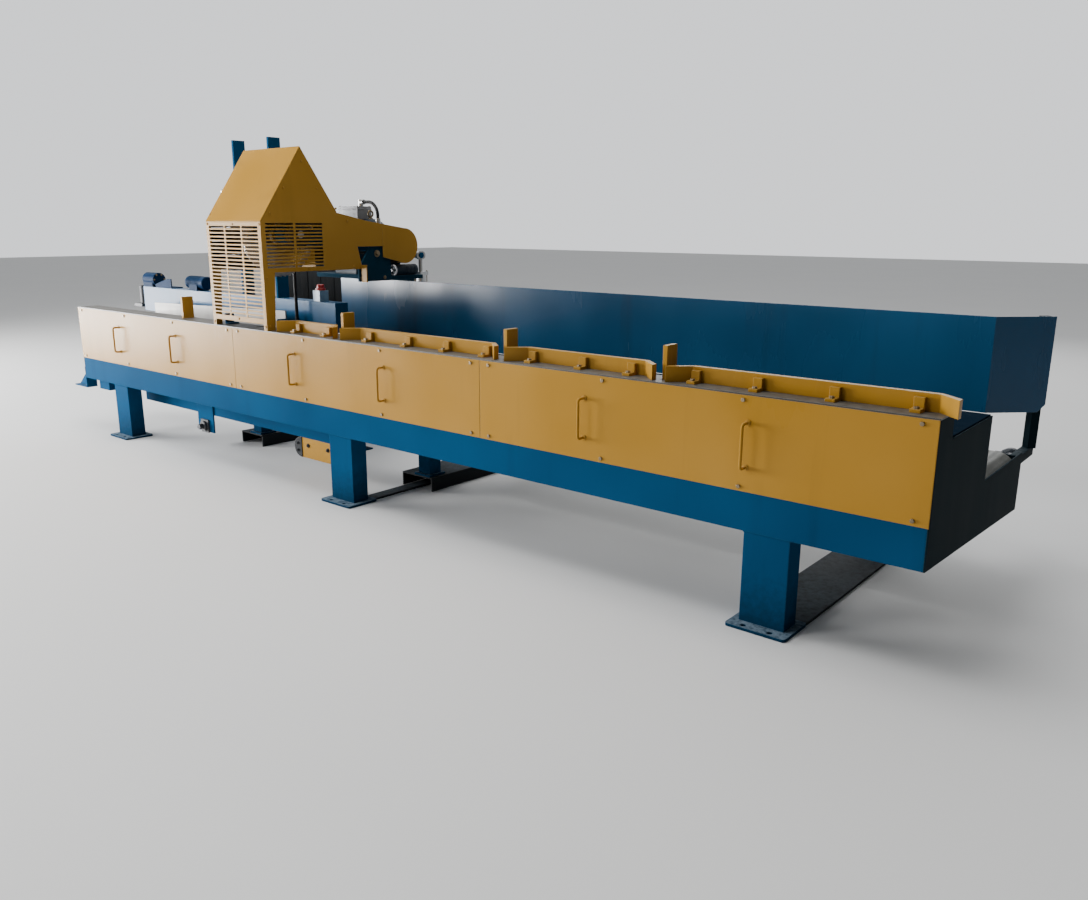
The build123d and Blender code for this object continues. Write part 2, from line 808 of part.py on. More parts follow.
def make_bearings():
    bearings = []
    for x in roller_x:
        bearings.append(flange_bearing(x, back_plate_front, roller_z, roller_shaft_radius, -1))
        bearings.append(flange_bearing(x, bed_rear_y, roller_z, roller_shaft_radius, 1))
    for x in (head_x, tail_x):
        bearings.append(flange_bearing(x, conveyor_rail_front_y, pulley_z, pulley_shaft_radius, -1))
        bearings.append(flange_bearing(x, outer_leg_front_y, pulley_z, pulley_shaft_radius, 1))
    hanger_y = sub_rail_front_y - hanger_thickness
    bearings.append(flange_bearing(hanger_x, hanger_y, hanger_bore_z, roller_shaft_radius, -1)
                    + rod_y(hanger_x, hanger_y - 2 * bearing_length, hanger_y, hanger_bore_z,
                            roller_shaft_radius + running_fit))
    for x in kicker_bearing_x:
        bearings.append(hanging_block(x, kicker_hub_length / 2))
    for x in (hub_right_x + pillow_width / 2 + 2 * part_gap, hub_left_x - pillow_width / 2 - 2 * part_gap):
        bearings.append(pillow_block(x))
    keep("bearings", *bearings)


def hanging_block(x, half):
    """Bearing block of the kicker shaft, bolted under a cross member."""
    body = block(x - half, x + half, kicker_pivot_y - kicker_hub_radius, kicker_pivot_y + kicker_hub_radius,
                 kicker_pivot_z, rear_frame_top)
    body += rod_x(x - half, x + half, kicker_pivot_y, kicker_pivot_z, kicker_hub_radius)
    return body - rod_x(x - half, x + half, kicker_pivot_y, kicker_pivot_z,
                        kicker_shaft_radius + running_fit)


def pillow_block(x):
    """Bearing block of the drive shaft, on the stand of the pedestal."""
    half = pillow_width / 2
    foot = drive_z - pillow_drop
    body = block(x - half, x + half, drive_y - pillow_half_length, drive_y + pillow_half_length,
                 foot, foot + pillow_foot)
    body += block(x - half, x + half, drive_y - arm_hub_radius, drive_y + arm_hub_radius, foot, drive_z)
    body += rod_x(x - half, x + half, drive_y, drive_z, arm_hub_radius)
    return body - rod_x(x - half, x + half, drive_y, drive_z, drive_shaft_radius + running_fit)


# Fence and kickers

def fence_rail(left, right):
    """Straight rail whose ends bend towards the operator."""
    end_y = fence_front_y - fence_flare_reach
    rear = fence_front_y + fence_thickness
    slant = fence_thickness * 1.25
    face = outline([(left, end_y), (left + fence_flare, fence_front_y), (right - fence_flare, fence_front_y),
                    (right, end_y), (right, end_y + slant), (right - fence_flare, rear),
                    (left + fence_flare, rear), (left, end_y + slant)])
    return plate_z(face, table_height, table_height + fence_height)


def make_fence():
    gap = fence_kicker_gap
    lefts = [hood_right_x + 2 * gap] + [x + gap for x in kicker_x]
    rights = [x - gap for x in kicker_x] + [fence_overhang]
    rails = [fence_rail(left, right) for left, right in zip(lefts, rights)]
    half = kicker_thickness / 2
    post = block(guide_post_x - half, guide_post_x + half, kicker_front_y, kicker_front_y + kicker_width,
                 table_height, kicker_top)
    keep("fence_rails", *rails, post)
    brackets = []
    for x in fence_bracket_x:
        side = fence_bracket_width / 2
        foot = table_height + fence_bracket_foot
        front = fence_front_y - fence_bracket_reach
        body = block(x - side, x + side, front, fence_front_y, table_height, foot)
        body += block(x - side, x + side, fence_front_y - fence_bracket_foot * 1.5, fence_front_y,
                      table_height, table_height + fence_bracket_height)
        brackets.append(body)
    keep("fence_brackets", *brackets)


def make_kickers():
    """Arms on one shaft under the bed that push a cut piece over the rear edge of the bed."""
    rear = kicker_front_y + kicker_width
    lean = kicker_hub_radius * 0.8
    face = outline([(kicker_front_y, kicker_top), (kicker_front_y, kicker_elbow_z),
                    (kicker_pivot_y - lean, kicker_pivot_z), (kicker_pivot_y + lean, kicker_pivot_z),
                    (rear, kicker_elbow_z + kicker_width), (rear, kicker_top)])
    face += Pos(kicker_pivot_y, kicker_pivot_z) * Circle(kicker_hub_radius)
    arms = []
    for x in kicker_x:
        half = kicker_thickness / 2
        hub = kicker_hub_length / 2
        arm = plate_x(face, x - half, x + half)
        arm += rod_x(x - hub, x + hub, kicker_pivot_y, kicker_pivot_z, kicker_hub_radius)
        arms.append(arm - rod_x(x - hub, x + hub, kicker_pivot_y, kicker_pivot_z,
                                kicker_shaft_radius + running_fit))
    keep("kicker_arms", *arms)
    right = kicker_actuator_x
    left = kicker_x[0] - kicker_hub_length
    keep("kicker_shaft", rod_x(left, right, kicker_pivot_y, kicker_pivot_z, kicker_shaft_radius))
    keep("kicker_actuator", hanging_block(kicker_actuator_x, kicker_hub_length)
         + rod_x(right + part_gap, right + 2 * kicker_hub_length, kicker_pivot_y, kicker_pivot_z,
                 kicker_hub_radius))


# Under the table

def make_under_table():
    rear = sub_rail_front_y + sub_rail_depth
    rail = block(sub_rail_left_x, sub_rail_right_x, sub_rail_front_y, sub_rail_front_y + rail_thickness,
                 sub_rail_bottom, rear_frame_top)
    for z in (sub_rail_bottom, rear_frame_top - rail_thickness):
        rail += block(sub_rail_left_x, sub_rail_right_x, sub_rail_front_y, rear, z, z + rail_thickness)
    keep("sub_rail", rail)
    keep("chain_guard", make_chain_guard())
    half = hanger_width / 2
    hanger = block(hanger_x - half, hanger_x + half, sub_rail_front_y - hanger_thickness, sub_rail_front_y,
                   hanger_bottom, beam_bottom)
    keep("frame_brackets", hanger, make_left_bracket(), make_junction_box(), *make_hood_feet())


def make_chain_guard():
    middle = (chain_guard_left_x + chain_guard_right_x) / 2
    length = chain_guard_right_x - chain_guard_left_x
    front = sub_rail_front_y + (sub_rail_depth - chain_guard_depth) / 2
    rear = front + chain_guard_depth
    centre = Pos(middle, chain_guard_bottom + chain_guard_height / 2)
    wall = chain_guard_wall
    guard = plate_y(centre * SlotOverall(length, chain_guard_height), front, rear)
    guard -= plate_y(centre * SlotOverall(length - 2 * wall, chain_guard_height - 2 * wall),
                     front + wall, rear)
    top = chain_guard_bottom + chain_guard_height
    for share in (0.2, 0.6):
        x = chain_guard_left_x + share * length
        guard += block(x - cross_member_width / 2, x + cross_member_width / 2, front, rear, top - wall,
                       sub_rail_bottom)
    return guard


def make_left_bracket():
    """Angle bracket on the left end plate, with a foot flange."""
    left = left_end - left_bracket_length
    top = left_bracket_bottom + left_bracket_height
    sheet = rail_thickness
    body = block(left_end - sheet, left_end, cover_thickness, left_bracket_depth, left_bracket_bottom, top)
    body += block(left, left_end, cover_thickness, left_bracket_depth, left_bracket_bottom,
                  left_bracket_bottom + sheet)
    gusset = outline([(left, left_bracket_bottom), (left_end, left_bracket_bottom), (left_end, top)])
    middle = left_bracket_depth / 2
    return body + plate_y(gusset, middle - sheet / 2, middle + sheet / 2)


def make_junction_box():
    left = left_end + cabinet_depth * 0.7
    return block(left, left + cabinet_depth, cabinet_depth / 3, cabinet_depth * 0.8,
                 left_bracket_bottom, beam_bottom)


def make_hood_feet():
    """Angle feet that hold the legs of the hood to the top strip."""
    feet = []
    rear = cabinet_depth - 2 * rail_thickness
    for inner, outer in ((hood_right_x - hood_sheet, hood_right_x - 2 * hood_leg_width),
                         (hood_left_x + hood_sheet, hood_left_x + 2 * hood_leg_width)):
        x0, x1 = sorted((inner, outer))
        foot = block(x0, x1, hood_leg_depth + part_gap, rear, table_height, table_height + rail_thickness)
        web = sorted((inner, inner + math.copysign(rail_thickness, outer - inner)))
        feet.append(foot + block(*web, hood_leg_depth + part_gap, rear, table_height,
                                 table_height + fence_height))
    return feet


# Infeed side: rear beam, side plate and hold-down

def make_rear_beam():
    rear = rear_beam_front_y + rear_beam_depth
    bottom = rear_beam_top - rear_beam_height
    beam = tube_x(rear_beam_left_x, rear_beam_right_x, rear_beam_front_y, rear, bottom, rear_beam_top,
                  rear_beam_wall)
    for x in (rear_beam_left_x, rear_beam_right_x - rear_beam_wall):
        beam += block(x, x + rear_beam_wall, rear_beam_front_y, rear, bottom, rear_beam_top)
    for x in (side_plate_left_x, rear_leg_left_x, hood_left_x):
        half = cross_member_width / 2
        beam += block(x - half, x + half, bed_rear_y, rear, rear_frame_top + rear_frame_beam / 2, bottom)
    keep("rear_beam", beam)
    face = outline([(side_plate_left_x, side_plate_bottom), (side_plate_right_x, side_plate_bottom),
                    (side_plate_right_x, side_plate_top), (side_plate_left_x, side_plate_left_top)])
    plate_rear = side_plate_y + side_plate_thickness
    plate = plate_y(face, side_plate_y, plate_rear)
    length = side_plate_right_x - side_plate_left_x
    for share in (0.2, 0.8):
        x = side_plate_left_x + share * length
        plate += block(x - side_plate_thickness / 2, x + side_plate_thickness / 2, plate_rear,
                       rear_beam_front_y,
                       side_plate_bottom + side_plate_thickness, side_plate_left_top - side_plate_thickness)
    keep("side_plate", plate)


def make_hold_down():
    """Clamp that holds the stock while the saw cuts: uprights, crosshead, cylinder and shoe."""
    front = rear_beam_front_y + (rear_beam_depth - upright_depth) / 2
    half = upright_thickness / 2
    frame = None
    for x in upright_x:
        bar = block(x - half, x + half, front, front + upright_depth, rear_beam_top, upright_top)
        frame = bar if frame is None else frame + bar
    top = crosshead_z + crosshead_thickness
    clamp_x = sum(upright_x) / 2
    frame += block(upright_x[0], upright_x[1], crosshead_front_y, front + upright_depth, crosshead_z, top)
    frame -= rod_z(clamp_x, clamp_y, crosshead_z, top, clamp_rod_radius + running_fit)
    keep("holddown_frame", frame)
    cylinder_top = top + clamp_cylinder_height
    bore = clamp_rod_radius + 4 * part_gap
    cylinder = rod_z(clamp_x, clamp_y, top, cylinder_top, clamp_cylinder_radius)
    cap = 1.15 * clamp_cylinder_radius
    for z in (top, cylinder_top - pillow_foot):
        cylinder += block(clamp_x - cap, clamp_x + cap, clamp_y - cap, clamp_y + cap, z, z + pillow_foot)
    keep("holddown_cylinder",
         cylinder - rod_z(clamp_x, clamp_y, top, cylinder_top - pillow_foot / 2, bore))
    shoe_top = clamp_shoe_bottom + clamp_shoe_thickness
    shoe = block(clamp_x - clamp_shoe_length / 2, clamp_x + clamp_shoe_length / 2,
                 clamp_y - clamp_shoe_depth / 2, clamp_y + clamp_shoe_depth / 2, clamp_shoe_bottom, shoe_top)
    keep("holddown_shoe", shoe + rod_z(clamp_x, clamp_y, shoe_top, cylinder_top - pillow_foot,
                                       clamp_rod_radius))


def make_estop():
    half = estop_box_size / 2
    y = rear_beam_front_y + rear_beam_depth / 2
    top = rear_beam_top + estop_box_size
    depth = estop_stem_height + estop_travel + part_gap
    box = block(estop_x - half, estop_x + half, y - half, y + half, rear_beam_top, top)
    keep("estop_box", box - rod_z(estop_x, y, top - depth, top, estop_stem_radius + running_fit))
    cap_bottom = top + 1.5 * estop_travel
    button = rod_z(estop_x, y, top - estop_stem_height, cap_bottom, estop_stem_radius)
    cap = rod_z(estop_x, y, cap_bottom, cap_bottom + estop_cap_height, estop_button_radius)
    keep("estop_button", button + fillet(cap.edges().group_by(Axis.Z)[-1], estop_cap_height / 3))


def make_infeed_drive():
    """Motor, gear head and their bracket on the rear beam, and the post beyond the beam's end."""
    y = rear_beam_front_y + rear_beam_depth / 2
    top = rear_beam_top
    radius = infeed_motor_radius
    half = infeed_motor_length / 2
    axis_z = top + radius + rail_thickness
    motor = rod_x(infeed_motor_x - half, infeed_motor_x + half, y, axis_z, radius)
    motor += block(infeed_motor_x - half / 2, infeed_motor_x + half / 2, y - radius, y + radius, top, axis_z)
    gear = block(infeed_gear_x - radius, infeed_gear_x + 2 * radius, y - radius, y + radius, top, axis_z)
    gear += rod_x(infeed_gear_x - radius, infeed_gear_x + 2.5 * radius, y, axis_z, 1.1 * radius)
    left = infeed_gear_x + 3 * radius
    right = left + 5 * radius
    slope = outline([(left, top), (right, top), (right, top + 1.5 * radius),
                     (right - radius, top + 1.5 * radius),
                     (left, top + radius / 2)])
    bracket = plate_y(slope, y - radius, y - radius + rail_thickness)
    bracket += block(left, right, y - radius, y + radius, top, top + rail_thickness)
    keep("infeed_drive", motor, gear, bracket)
    bottom = infeed_post_bottom
    base = 1.8 * infeed_post_radius
    post = rod_z(infeed_post_x, y, bottom, top, infeed_post_radius)
    post += block(infeed_post_x - base, infeed_post_x + base, y - base, y + base, bottom,
                  bottom + pillow_foot)
    post += block(infeed_post_x, rear_beam_left_x, y - infeed_post_radius / 2, y + infeed_post_radius / 2,
                  bottom + 2 * pillow_foot, top - pillow_foot)
    keep("infeed_post", post)


# Take-away conveyor and back wall

def make_conveyor():
    front_rail = conveyor_rail_front_y
    rear_rail = conveyor_rail_rear_y
    frame = None
    for y in (front_rail, rear_rail):
        rail = block(conveyor_rail_left_x, inner_right, y, y + rail_thickness, conveyor_rail_bottom,
                     conveyor_rail_top)
        for x in (head_x, tail_x):
            rail -= rod_y(x, y, y + rail_thickness, pulley_z, pulley_shaft_radius * 1.3)
        frame = rail if frame is None else frame + rail
    inner = front_rail + rail_thickness
    clear = pulley_radius + 2 * conveyor_rail_gap
    top = conveyor_belt_top - conveyor_belt_thickness - part_gap
    frame += block(tail_x + clear, head_x - clear, inner, rear_rail, top - slider_thickness, top)
    span = head_x - tail_x
    for number in range(1, 5):
        x = tail_x + span * number / 5
        half = cross_member_width / 2
        frame += block(x - half, x + half, inner, rear_rail, pulley_z - half, top)
    keep("conveyor_frame", frame)
    band = Pos((head_x + tail_x) / 2, pulley_z) * loop_band(span, pulley_radius, conveyor_belt_thickness)
    keep("conveyor_belt", plate_y(band, belt_front_y, belt_rear_y))
    ends = {"head_pulley": (head_x, gearbox_y + gearbox_length / 2),
            "tail_pulley": (tail_x, outer_leg_front_y + bearing_length + part_gap)}
    for name, (x, rear) in ends.items():
        drum = rod_y(x, belt_front_y + rail_thickness, belt_rear_y - rail_thickness, pulley_z,
                     pulley_radius - part_gap)
        keep(name, drum + rod_y(x, front_rail - bearing_length - part_gap, rear, pulley_z,
                                pulley_shaft_radius))


def make_gearmotor():
    half = gearbox_size / 2
    rear = gearbox_y + gearbox_length
    box = block(head_x - half, head_x + half, gearbox_y, rear, pulley_z - half - gearbox_drop,
                pulley_z + half)
    box -= rod_y(head_x, gearbox_y, gearbox_y + gearbox_length / 2 + part_gap, pulley_z,
                 pulley_shaft_radius + running_fit)
    arm_top = pulley_z - bearing_size / 2 - part_gap
    box += block(head_x - half / 2, head_x + half / 2, outer_leg_front_y, gearbox_y,
                 conveyor_rail_bottom, arm_top)
    box += rod_y(head_x, rear, rear + gearmotor_length, pulley_z, gearmotor_radius)
    keep("gearmotor", box, make_pump_motor())


def make_wall():
    flare_length = math.hypot(wall_flare_x, wall_flare_y)
    wall = block(wall_left_x, wall_bend_x, wall_y, wall_y + wall_thickness, wall_bottom, wall_top)
    turn = Pos(wall_bend_x, wall_y) * Rot(0, 0, wall_angle)
    low = outline([(0, wall_bottom), (flare_length - wall_corner_cut, wall_bottom),
                   (flare_length, wall_bottom + wall_corner_cut), (flare_length, wall_top), (0, wall_top)])
    keep("back_wall", wall + turn * plate_y(low, 0, wall_thickness))
    half = wall_post_width / 2
    front = wall_y + wall_thickness
    posts = []
    for x in (wall_left_x + wall_post_width, rear_leg_right_x, conveyor_leg_x):
        posts.append(block(x - half, x + half, front, front + wall_post_width, rear_frame_top,
                           wall_top - wall_post_width))
    end = turn * Pos(flare_length - wall_corner_cut, wall_thickness + half)
    post = end * Pos(0, 0, (conveyor_rail_top + wall_top) / 2) \
        * Box(wall_post_width, wall_post_width, wall_top - conveyor_rail_top)
    posts.append(post + block(inner_right - wall_post_width, inner_right, outer_leg_front_y,
                              wall_end_y + wall_post_width, conveyor_rail_top - wall_post_width,
                              conveyor_rail_top))
    keep("wall_posts", *posts)


# Saw unit

def make_pedestal():
    """Column of the saw behind the wall, with a base plate that reaches forward over the wall's top edge."""
    left = pedestal_left_x
    right = pedestal_right_x
    column_right = pedestal_column_right_x
    front = pedestal_column_front_y
    rear = pedestal_column_rear_y
    floor = rear_frame_top + pedestal_plate
    top = saw_base_z - pedestal_plate
    floor_plate = block(left, right, pedestal_front_y, rear, rear_frame_top, floor)
    column = tube_z(left, column_right, front, rear, floor, top, pedestal_column_wall)
    base = block(left, column_right, saw_base_front_y, rear, top, saw_base_z)
    wing = block(column_right, right, saw_base_front_y, saw_base_rear_y, top, saw_base_z)
    stand_left = hub_left_x - pillow_width - 2 * part_gap
    stand_right = hub_right_x + pillow_width + 2 * part_gap
    stand = block(stand_left, stand_right, drive_y - pillow_half_length, drive_y + pillow_stand_rear,
                  saw_base_z, drive_z - pillow_drop)
    cheek = outline([(cheek_front_y, top), (cheek_front_y, hood_bottom), (cheek_shoulder_y, cheek_top),
                     (cheek_rear_y, cheek_top), (cheek_rear_y, top)])
    cheek_plate = plate_x(cheek, right, right + cheek_thickness)
    keep("saw_pedestal", floor_plate, column, base, wing, stand, cheek_plate, *feed_bracket(column_right))


def feed_bracket(left):
    """Shelf of the feed cylinder on the right side of the column, with a gusset under it."""
    bottom = feed_bracket_z - feed_bracket_thickness
    right = feed_x + feed_bracket_half
    shelf = block(left, right, feed_y - feed_bracket_half, feed_y + feed_bracket_half, bottom, feed_bracket_z)
    gusset = outline([(left, bottom), (right, bottom), (left, bottom - 2 * feed_bracket_half)])
    return shelf, plate_y(gusset, feed_y - cheek_thickness / 2, feed_y + cheek_thickness / 2)


def make_pump_motor():
    """Small motor on the base plate, under the round end of the belt cover."""
    x = arm_x + pump_offset
    z = saw_base_z + pump_radius
    motor = rod_y(x, pump_front_y, pump_rear_y, z, pump_radius)
    motor -= rod_y(x, pump_front_y, pump_front_y + part_gap, z, 0.8 * pump_radius)
    for number in range(3):
        y = pump_rear_y - (number + 1) * pump_radius
        groove = rod_y(x, y, y + pump_radius / 4, z, pump_radius)
        motor -= groove - rod_y(x, y, y + pump_radius / 4, z, 0.92 * pump_radius)
    foot = pump_radius / 2
    return motor + block(x - foot, x + foot, pump_front_y + foot, pump_rear_y - foot, saw_base_z, z)


def make_swing_arm():
    half = arm_thickness / 2
    centre = Pos((drive_y + arbor_y) / 2, (drive_z + arbor_z) / 2) * Rot(0, 0, -arm_rise)
    arm = plate_x(centre * Rectangle(arm_length, arm_height), arm_x - half, arm_x + half)
    arm -= plate_x(centre * Rectangle(arm_length, arm_height - 2 * arm_wall), arm_x - half,
                   arm_x + half - arm_wall)
    arm += rod_x(hub_left_x, hub_right_x, drive_y, drive_z, arm_hub_radius)
    arm += rod_x(arm_x - housing_half, arm_x + housing_half, arbor_y, arbor_z, arm_hub_radius)
    eye_right = feed_x + feed_eye_thickness / 2 + 2 * part_gap
    lever_left = hub_right_x - lever_thickness
    lever = Pos((drive_y + feed_y) / 2, (drive_z + feed_pin_z) / 2) * Rot(0, 0, -saw_swing / 2) \
        * Rectangle(math.hypot(feed_y - drive_y, drive_z - feed_pin_z), lever_height)
    arm += plate_x(lever, lever_left, hub_right_x)
    arm += rod_x(lever_left, hub_right_x, feed_y, feed_pin_z, lever_height / 2)
    arm += rod_x(lever_left, eye_right, feed_y, feed_pin_z, feed_pin_radius)
    arm += rod_x(eye_right, eye_right + arm_wall / 2, feed_y, feed_pin_z, 1.6 * feed_pin_radius)
    arm -= rod_x(hub_left_x, hub_right_x, drive_y, drive_z, drive_shaft_radius + running_fit)
    arm -= rod_x(arm_x - housing_half, arm_x + housing_half, arbor_y, arbor_z, arbor_radius + running_fit)
    keep("swing_arm", arm)


def sheave(y, z, bore):
    half = sheave_width / 2
    wheel = rod_x(belt_x - half, belt_x + half, y, z, sheave_radius)
    groove = rod_x(belt_x - groove_width / 2, belt_x + groove_width / 2, y, z, sheave_radius)
    groove -= rod_x(belt_x - groove_width / 2, belt_x + groove_width / 2, y, z, sheave_radius - groove_depth)
    return wheel - groove - rod_x(belt_x - half, belt_x + half, y, z, bore + running_fit)


def make_drive():
    keep("drive_sheave", sheave(drive_y, drive_z, drive_shaft_radius))
    keep("arbor_sheave", sheave(arbor_y, arbor_z, arbor_radius))
    right = belt_x + sheave_width / 2 + rail_thickness
    inside = motor_right_x - motor_bell_length * 0.75
    keep("drive_shaft", rod_x(inside, right, drive_y, drive_z, drive_shaft_radius))
    inner = sheave_radius - groove_depth + part_gap
    band = Pos((drive_y + arbor_y) / 2, (drive_z + arbor_z) / 2) * Rot(0, 0, -arm_rise) \
        * loop_band(arm_length, inner, drive_belt_thickness)
    keep("drive_belt", plate_x(band, belt_x - drive_belt_width / 2, belt_x + drive_belt_width / 2))


def make_blade():
    """Blade clamped between the fixed collar of the arbor and a loose collar with its nut."""
    right = belt_x + sheave_width / 2 + rail_thickness
    blade_right = blade_x + blade_thickness / 2
    blade_left = blade_x - blade_thickness / 2
    nut_left = blade_left - collar_thickness - arbor_radius
    arbor = rod_x(nut_left - rail_thickness, right, arbor_y, arbor_z, arbor_radius)
    arbor += rod_x(blade_right, blade_right + collar_thickness, arbor_y, arbor_z, collar_radius)
    collar = rod_x(blade_left - collar_thickness, blade_left, arbor_y, arbor_z, collar_radius)
    nut = plate_x(Pos(arbor_y, arbor_z) * RegularPolygon(1.7 * arbor_radius, 6), nut_left,
                  blade_left - collar_thickness)
    collar = collar + nut - rod_x(nut_left, blade_left, arbor_y, arbor_z, arbor_radius + running_fit)
    keep("arbor", arbor, collar)
    points = []
    for tooth in range(blade_teeth):
        for turn, radius in ((0.0, blade_radius), (0.12, blade_radius - blade_tooth_depth)):
            angle = math.tau * (tooth + turn) / blade_teeth
            points.append((arbor_y + radius * math.cos(angle), arbor_z + radius * math.sin(angle)))
    disc = outline(points) - Pos(arbor_y, arbor_z) * Circle(arbor_radius + running_fit)
    keep("saw_blade", plate_x(disc, blade_left, blade_right))


def make_motor():
    body_right = motor_right_x - motor_bell_length
    bell = Plane(origin=(body_right, drive_y, drive_z), z_dir=(1, 0, 0)) * Circle(motor_radius)
    nose = Plane(origin=(motor_right_x, drive_y, drive_z), z_dir=(1, 0, 0)) * Circle(motor_bell_radius)
    motor = loft([bell, nose])
    body_left = motor_right_x - motor_length
    fins_left = body_left + motor_cover_length
    motor += rod_x(fins_left, body_right, drive_y, drive_z, motor_radius - motor_fin_height)
    motor += rod_x(body_left, fins_left, drive_y, drive_z, motor_radius)
    ring = Pos(drive_y, drive_z) * PolarLocations(motor_radius - motor_fin_height, motor_fin_count)
    fins = Sketch() + [place * Rectangle(2 * motor_fin_height, motor_fin_width) for place in ring]
    motor += plate_x(fins, fins_left, body_right)
    foot_half = motor_length / 4
    middle = (fins_left + body_right) / 2
    motor += block(middle - foot_half, middle + foot_half, drive_y - motor_foot_half,
                   drive_y + motor_foot_half,
                   saw_base_z, drive_z - motor_radius / 2)
    bore = rod_x(motor_right_x - motor_bell_length, motor_right_x, drive_y, drive_z,
                 drive_shaft_radius + running_fit)
    box_bottom = drive_z + motor_radius - 2 * motor_fin_height
    half = terminal_box_length / 2
    deep = terminal_box_depth / 2
    box = block(terminal_box_x - half, terminal_box_x + half, drive_y - deep, drive_y + deep, box_bottom,
                terminal_box_top)
    keep("drive_motor", motor - bore - box)
    keep("terminal_box", box - motor)


def make_conduit():
    """Motor conduit from the terminal box to the end bell, and a drop conduit clipped in the hood."""
    start_x = terminal_box_x + terminal_box_length / 2 - 2 * fitting_radius
    nose_x = start_x + 1.5 * fitting_length
    share = (motor_right_x - conduit_end_x) / motor_bell_length
    bell_top = drive_z + motor_bell_radius + share * (motor_radius - motor_bell_radius)
    end_z = bell_top + 2 * fitting_length
    path = FilletPolyline((nose_x, drive_y, conduit_top), (conduit_end_x, drive_y, conduit_top),
                          (conduit_end_x, drive_y, end_z), radius=conduit_bend)
    tube = sweep(Plane(origin=path @ 0, z_dir=path % 0) * Circle(conduit_radius), path=path)
    section = Circle(conduit_radius).area
    print("conduit bend", conduit_bend, "volume share", round(tube.volume / (section * path.length), 3))
    elbow = rod_z(start_x, drive_y, terminal_box_top, conduit_top + fitting_radius, fitting_radius)
    elbow += rod_x(start_x, nose_x, drive_y, conduit_top, fitting_radius)
    foot = rod_z(conduit_end_x, drive_y, bell_top - 2 * fitting_length, end_z, fitting_radius)
    sheet_x = hood_left_x + hood_sheet
    drop_x = sheet_x + 2 * conduit_radius
    drop = rod_z(drop_x, drop_conduit_y, deck_top, hood_bottom + drop_conduit_overlap, conduit_radius)
    drop += block(sheet_x, drop_x, drop_conduit_y - conduit_radius / 2, drop_conduit_y + conduit_radius / 2,
                  hood_bottom + conduit_clip, hood_bottom + 2 * conduit_clip)
    keep("motor_conduit", tube - elbow - foot, elbow, foot - pieces["drive_motor"], drop)


def make_feed_cylinder():
    """Cylinder whose rod lifts the arm's rear lever: the eye is a slot, as the pin moves on an arc."""
    barrel_top = feed_bracket_z + feed_barrel_length
    barrel = rod_z(feed_x, feed_y, feed_bracket_z, barrel_top, feed_barrel_radius)
    cap = 1.1 * feed_barrel_radius
    for z in (feed_bracket_z, barrel_top - pillow_foot):
        barrel += block(feed_x - cap, feed_x + cap, feed_y - cap, feed_y + cap, z, z + pillow_foot)
    bore_bottom = feed_bracket_z + pillow_foot
    keep("feed_cylinder",
         barrel - rod_z(feed_x, feed_y, bore_bottom, barrel_top, feed_rod_radius + running_fit))
    hole = 2 * (feed_pin_radius + feed_pin_play)
    eye = Pos(feed_y, feed_pin_z) * SlotCenterToCenter(feed_eye_slot, hole + 2 * feed_eye_wall)
    slot = Pos(feed_y, feed_pin_z) * SlotCenterToCenter(feed_eye_slot, hole)
    half = feed_eye_thickness / 2
    rod_bottom = bore_bottom + 4 * part_gap
    rod_top = feed_pin_z - hole / 2 - feed_eye_wall / 2
    rod = rod_z(feed_x, feed_y, rod_bottom, rod_top, feed_rod_radius)
    keep("feed_rod", rod + plate_x(eye - slot, feed_x - half, feed_x + half))


# Hood

def slot_field(columns, rows, left, right, bottom, top):
    """Openings of a louvre grille as a flat face."""
    width = (right - left - (columns - 1) * slot_column_bar) / columns
    height = (top - bottom - (rows - 1) * slot_bar) / rows
    slots = []
    for column in range(columns):
        for row in range(rows):
            x = left + column * (width + slot_column_bar) + width / 2
            z = bottom + row * (height + slot_bar) + height / 2
            slots.append(Pos(x, z) * Rectangle(width, height))
    return Sketch() + slots


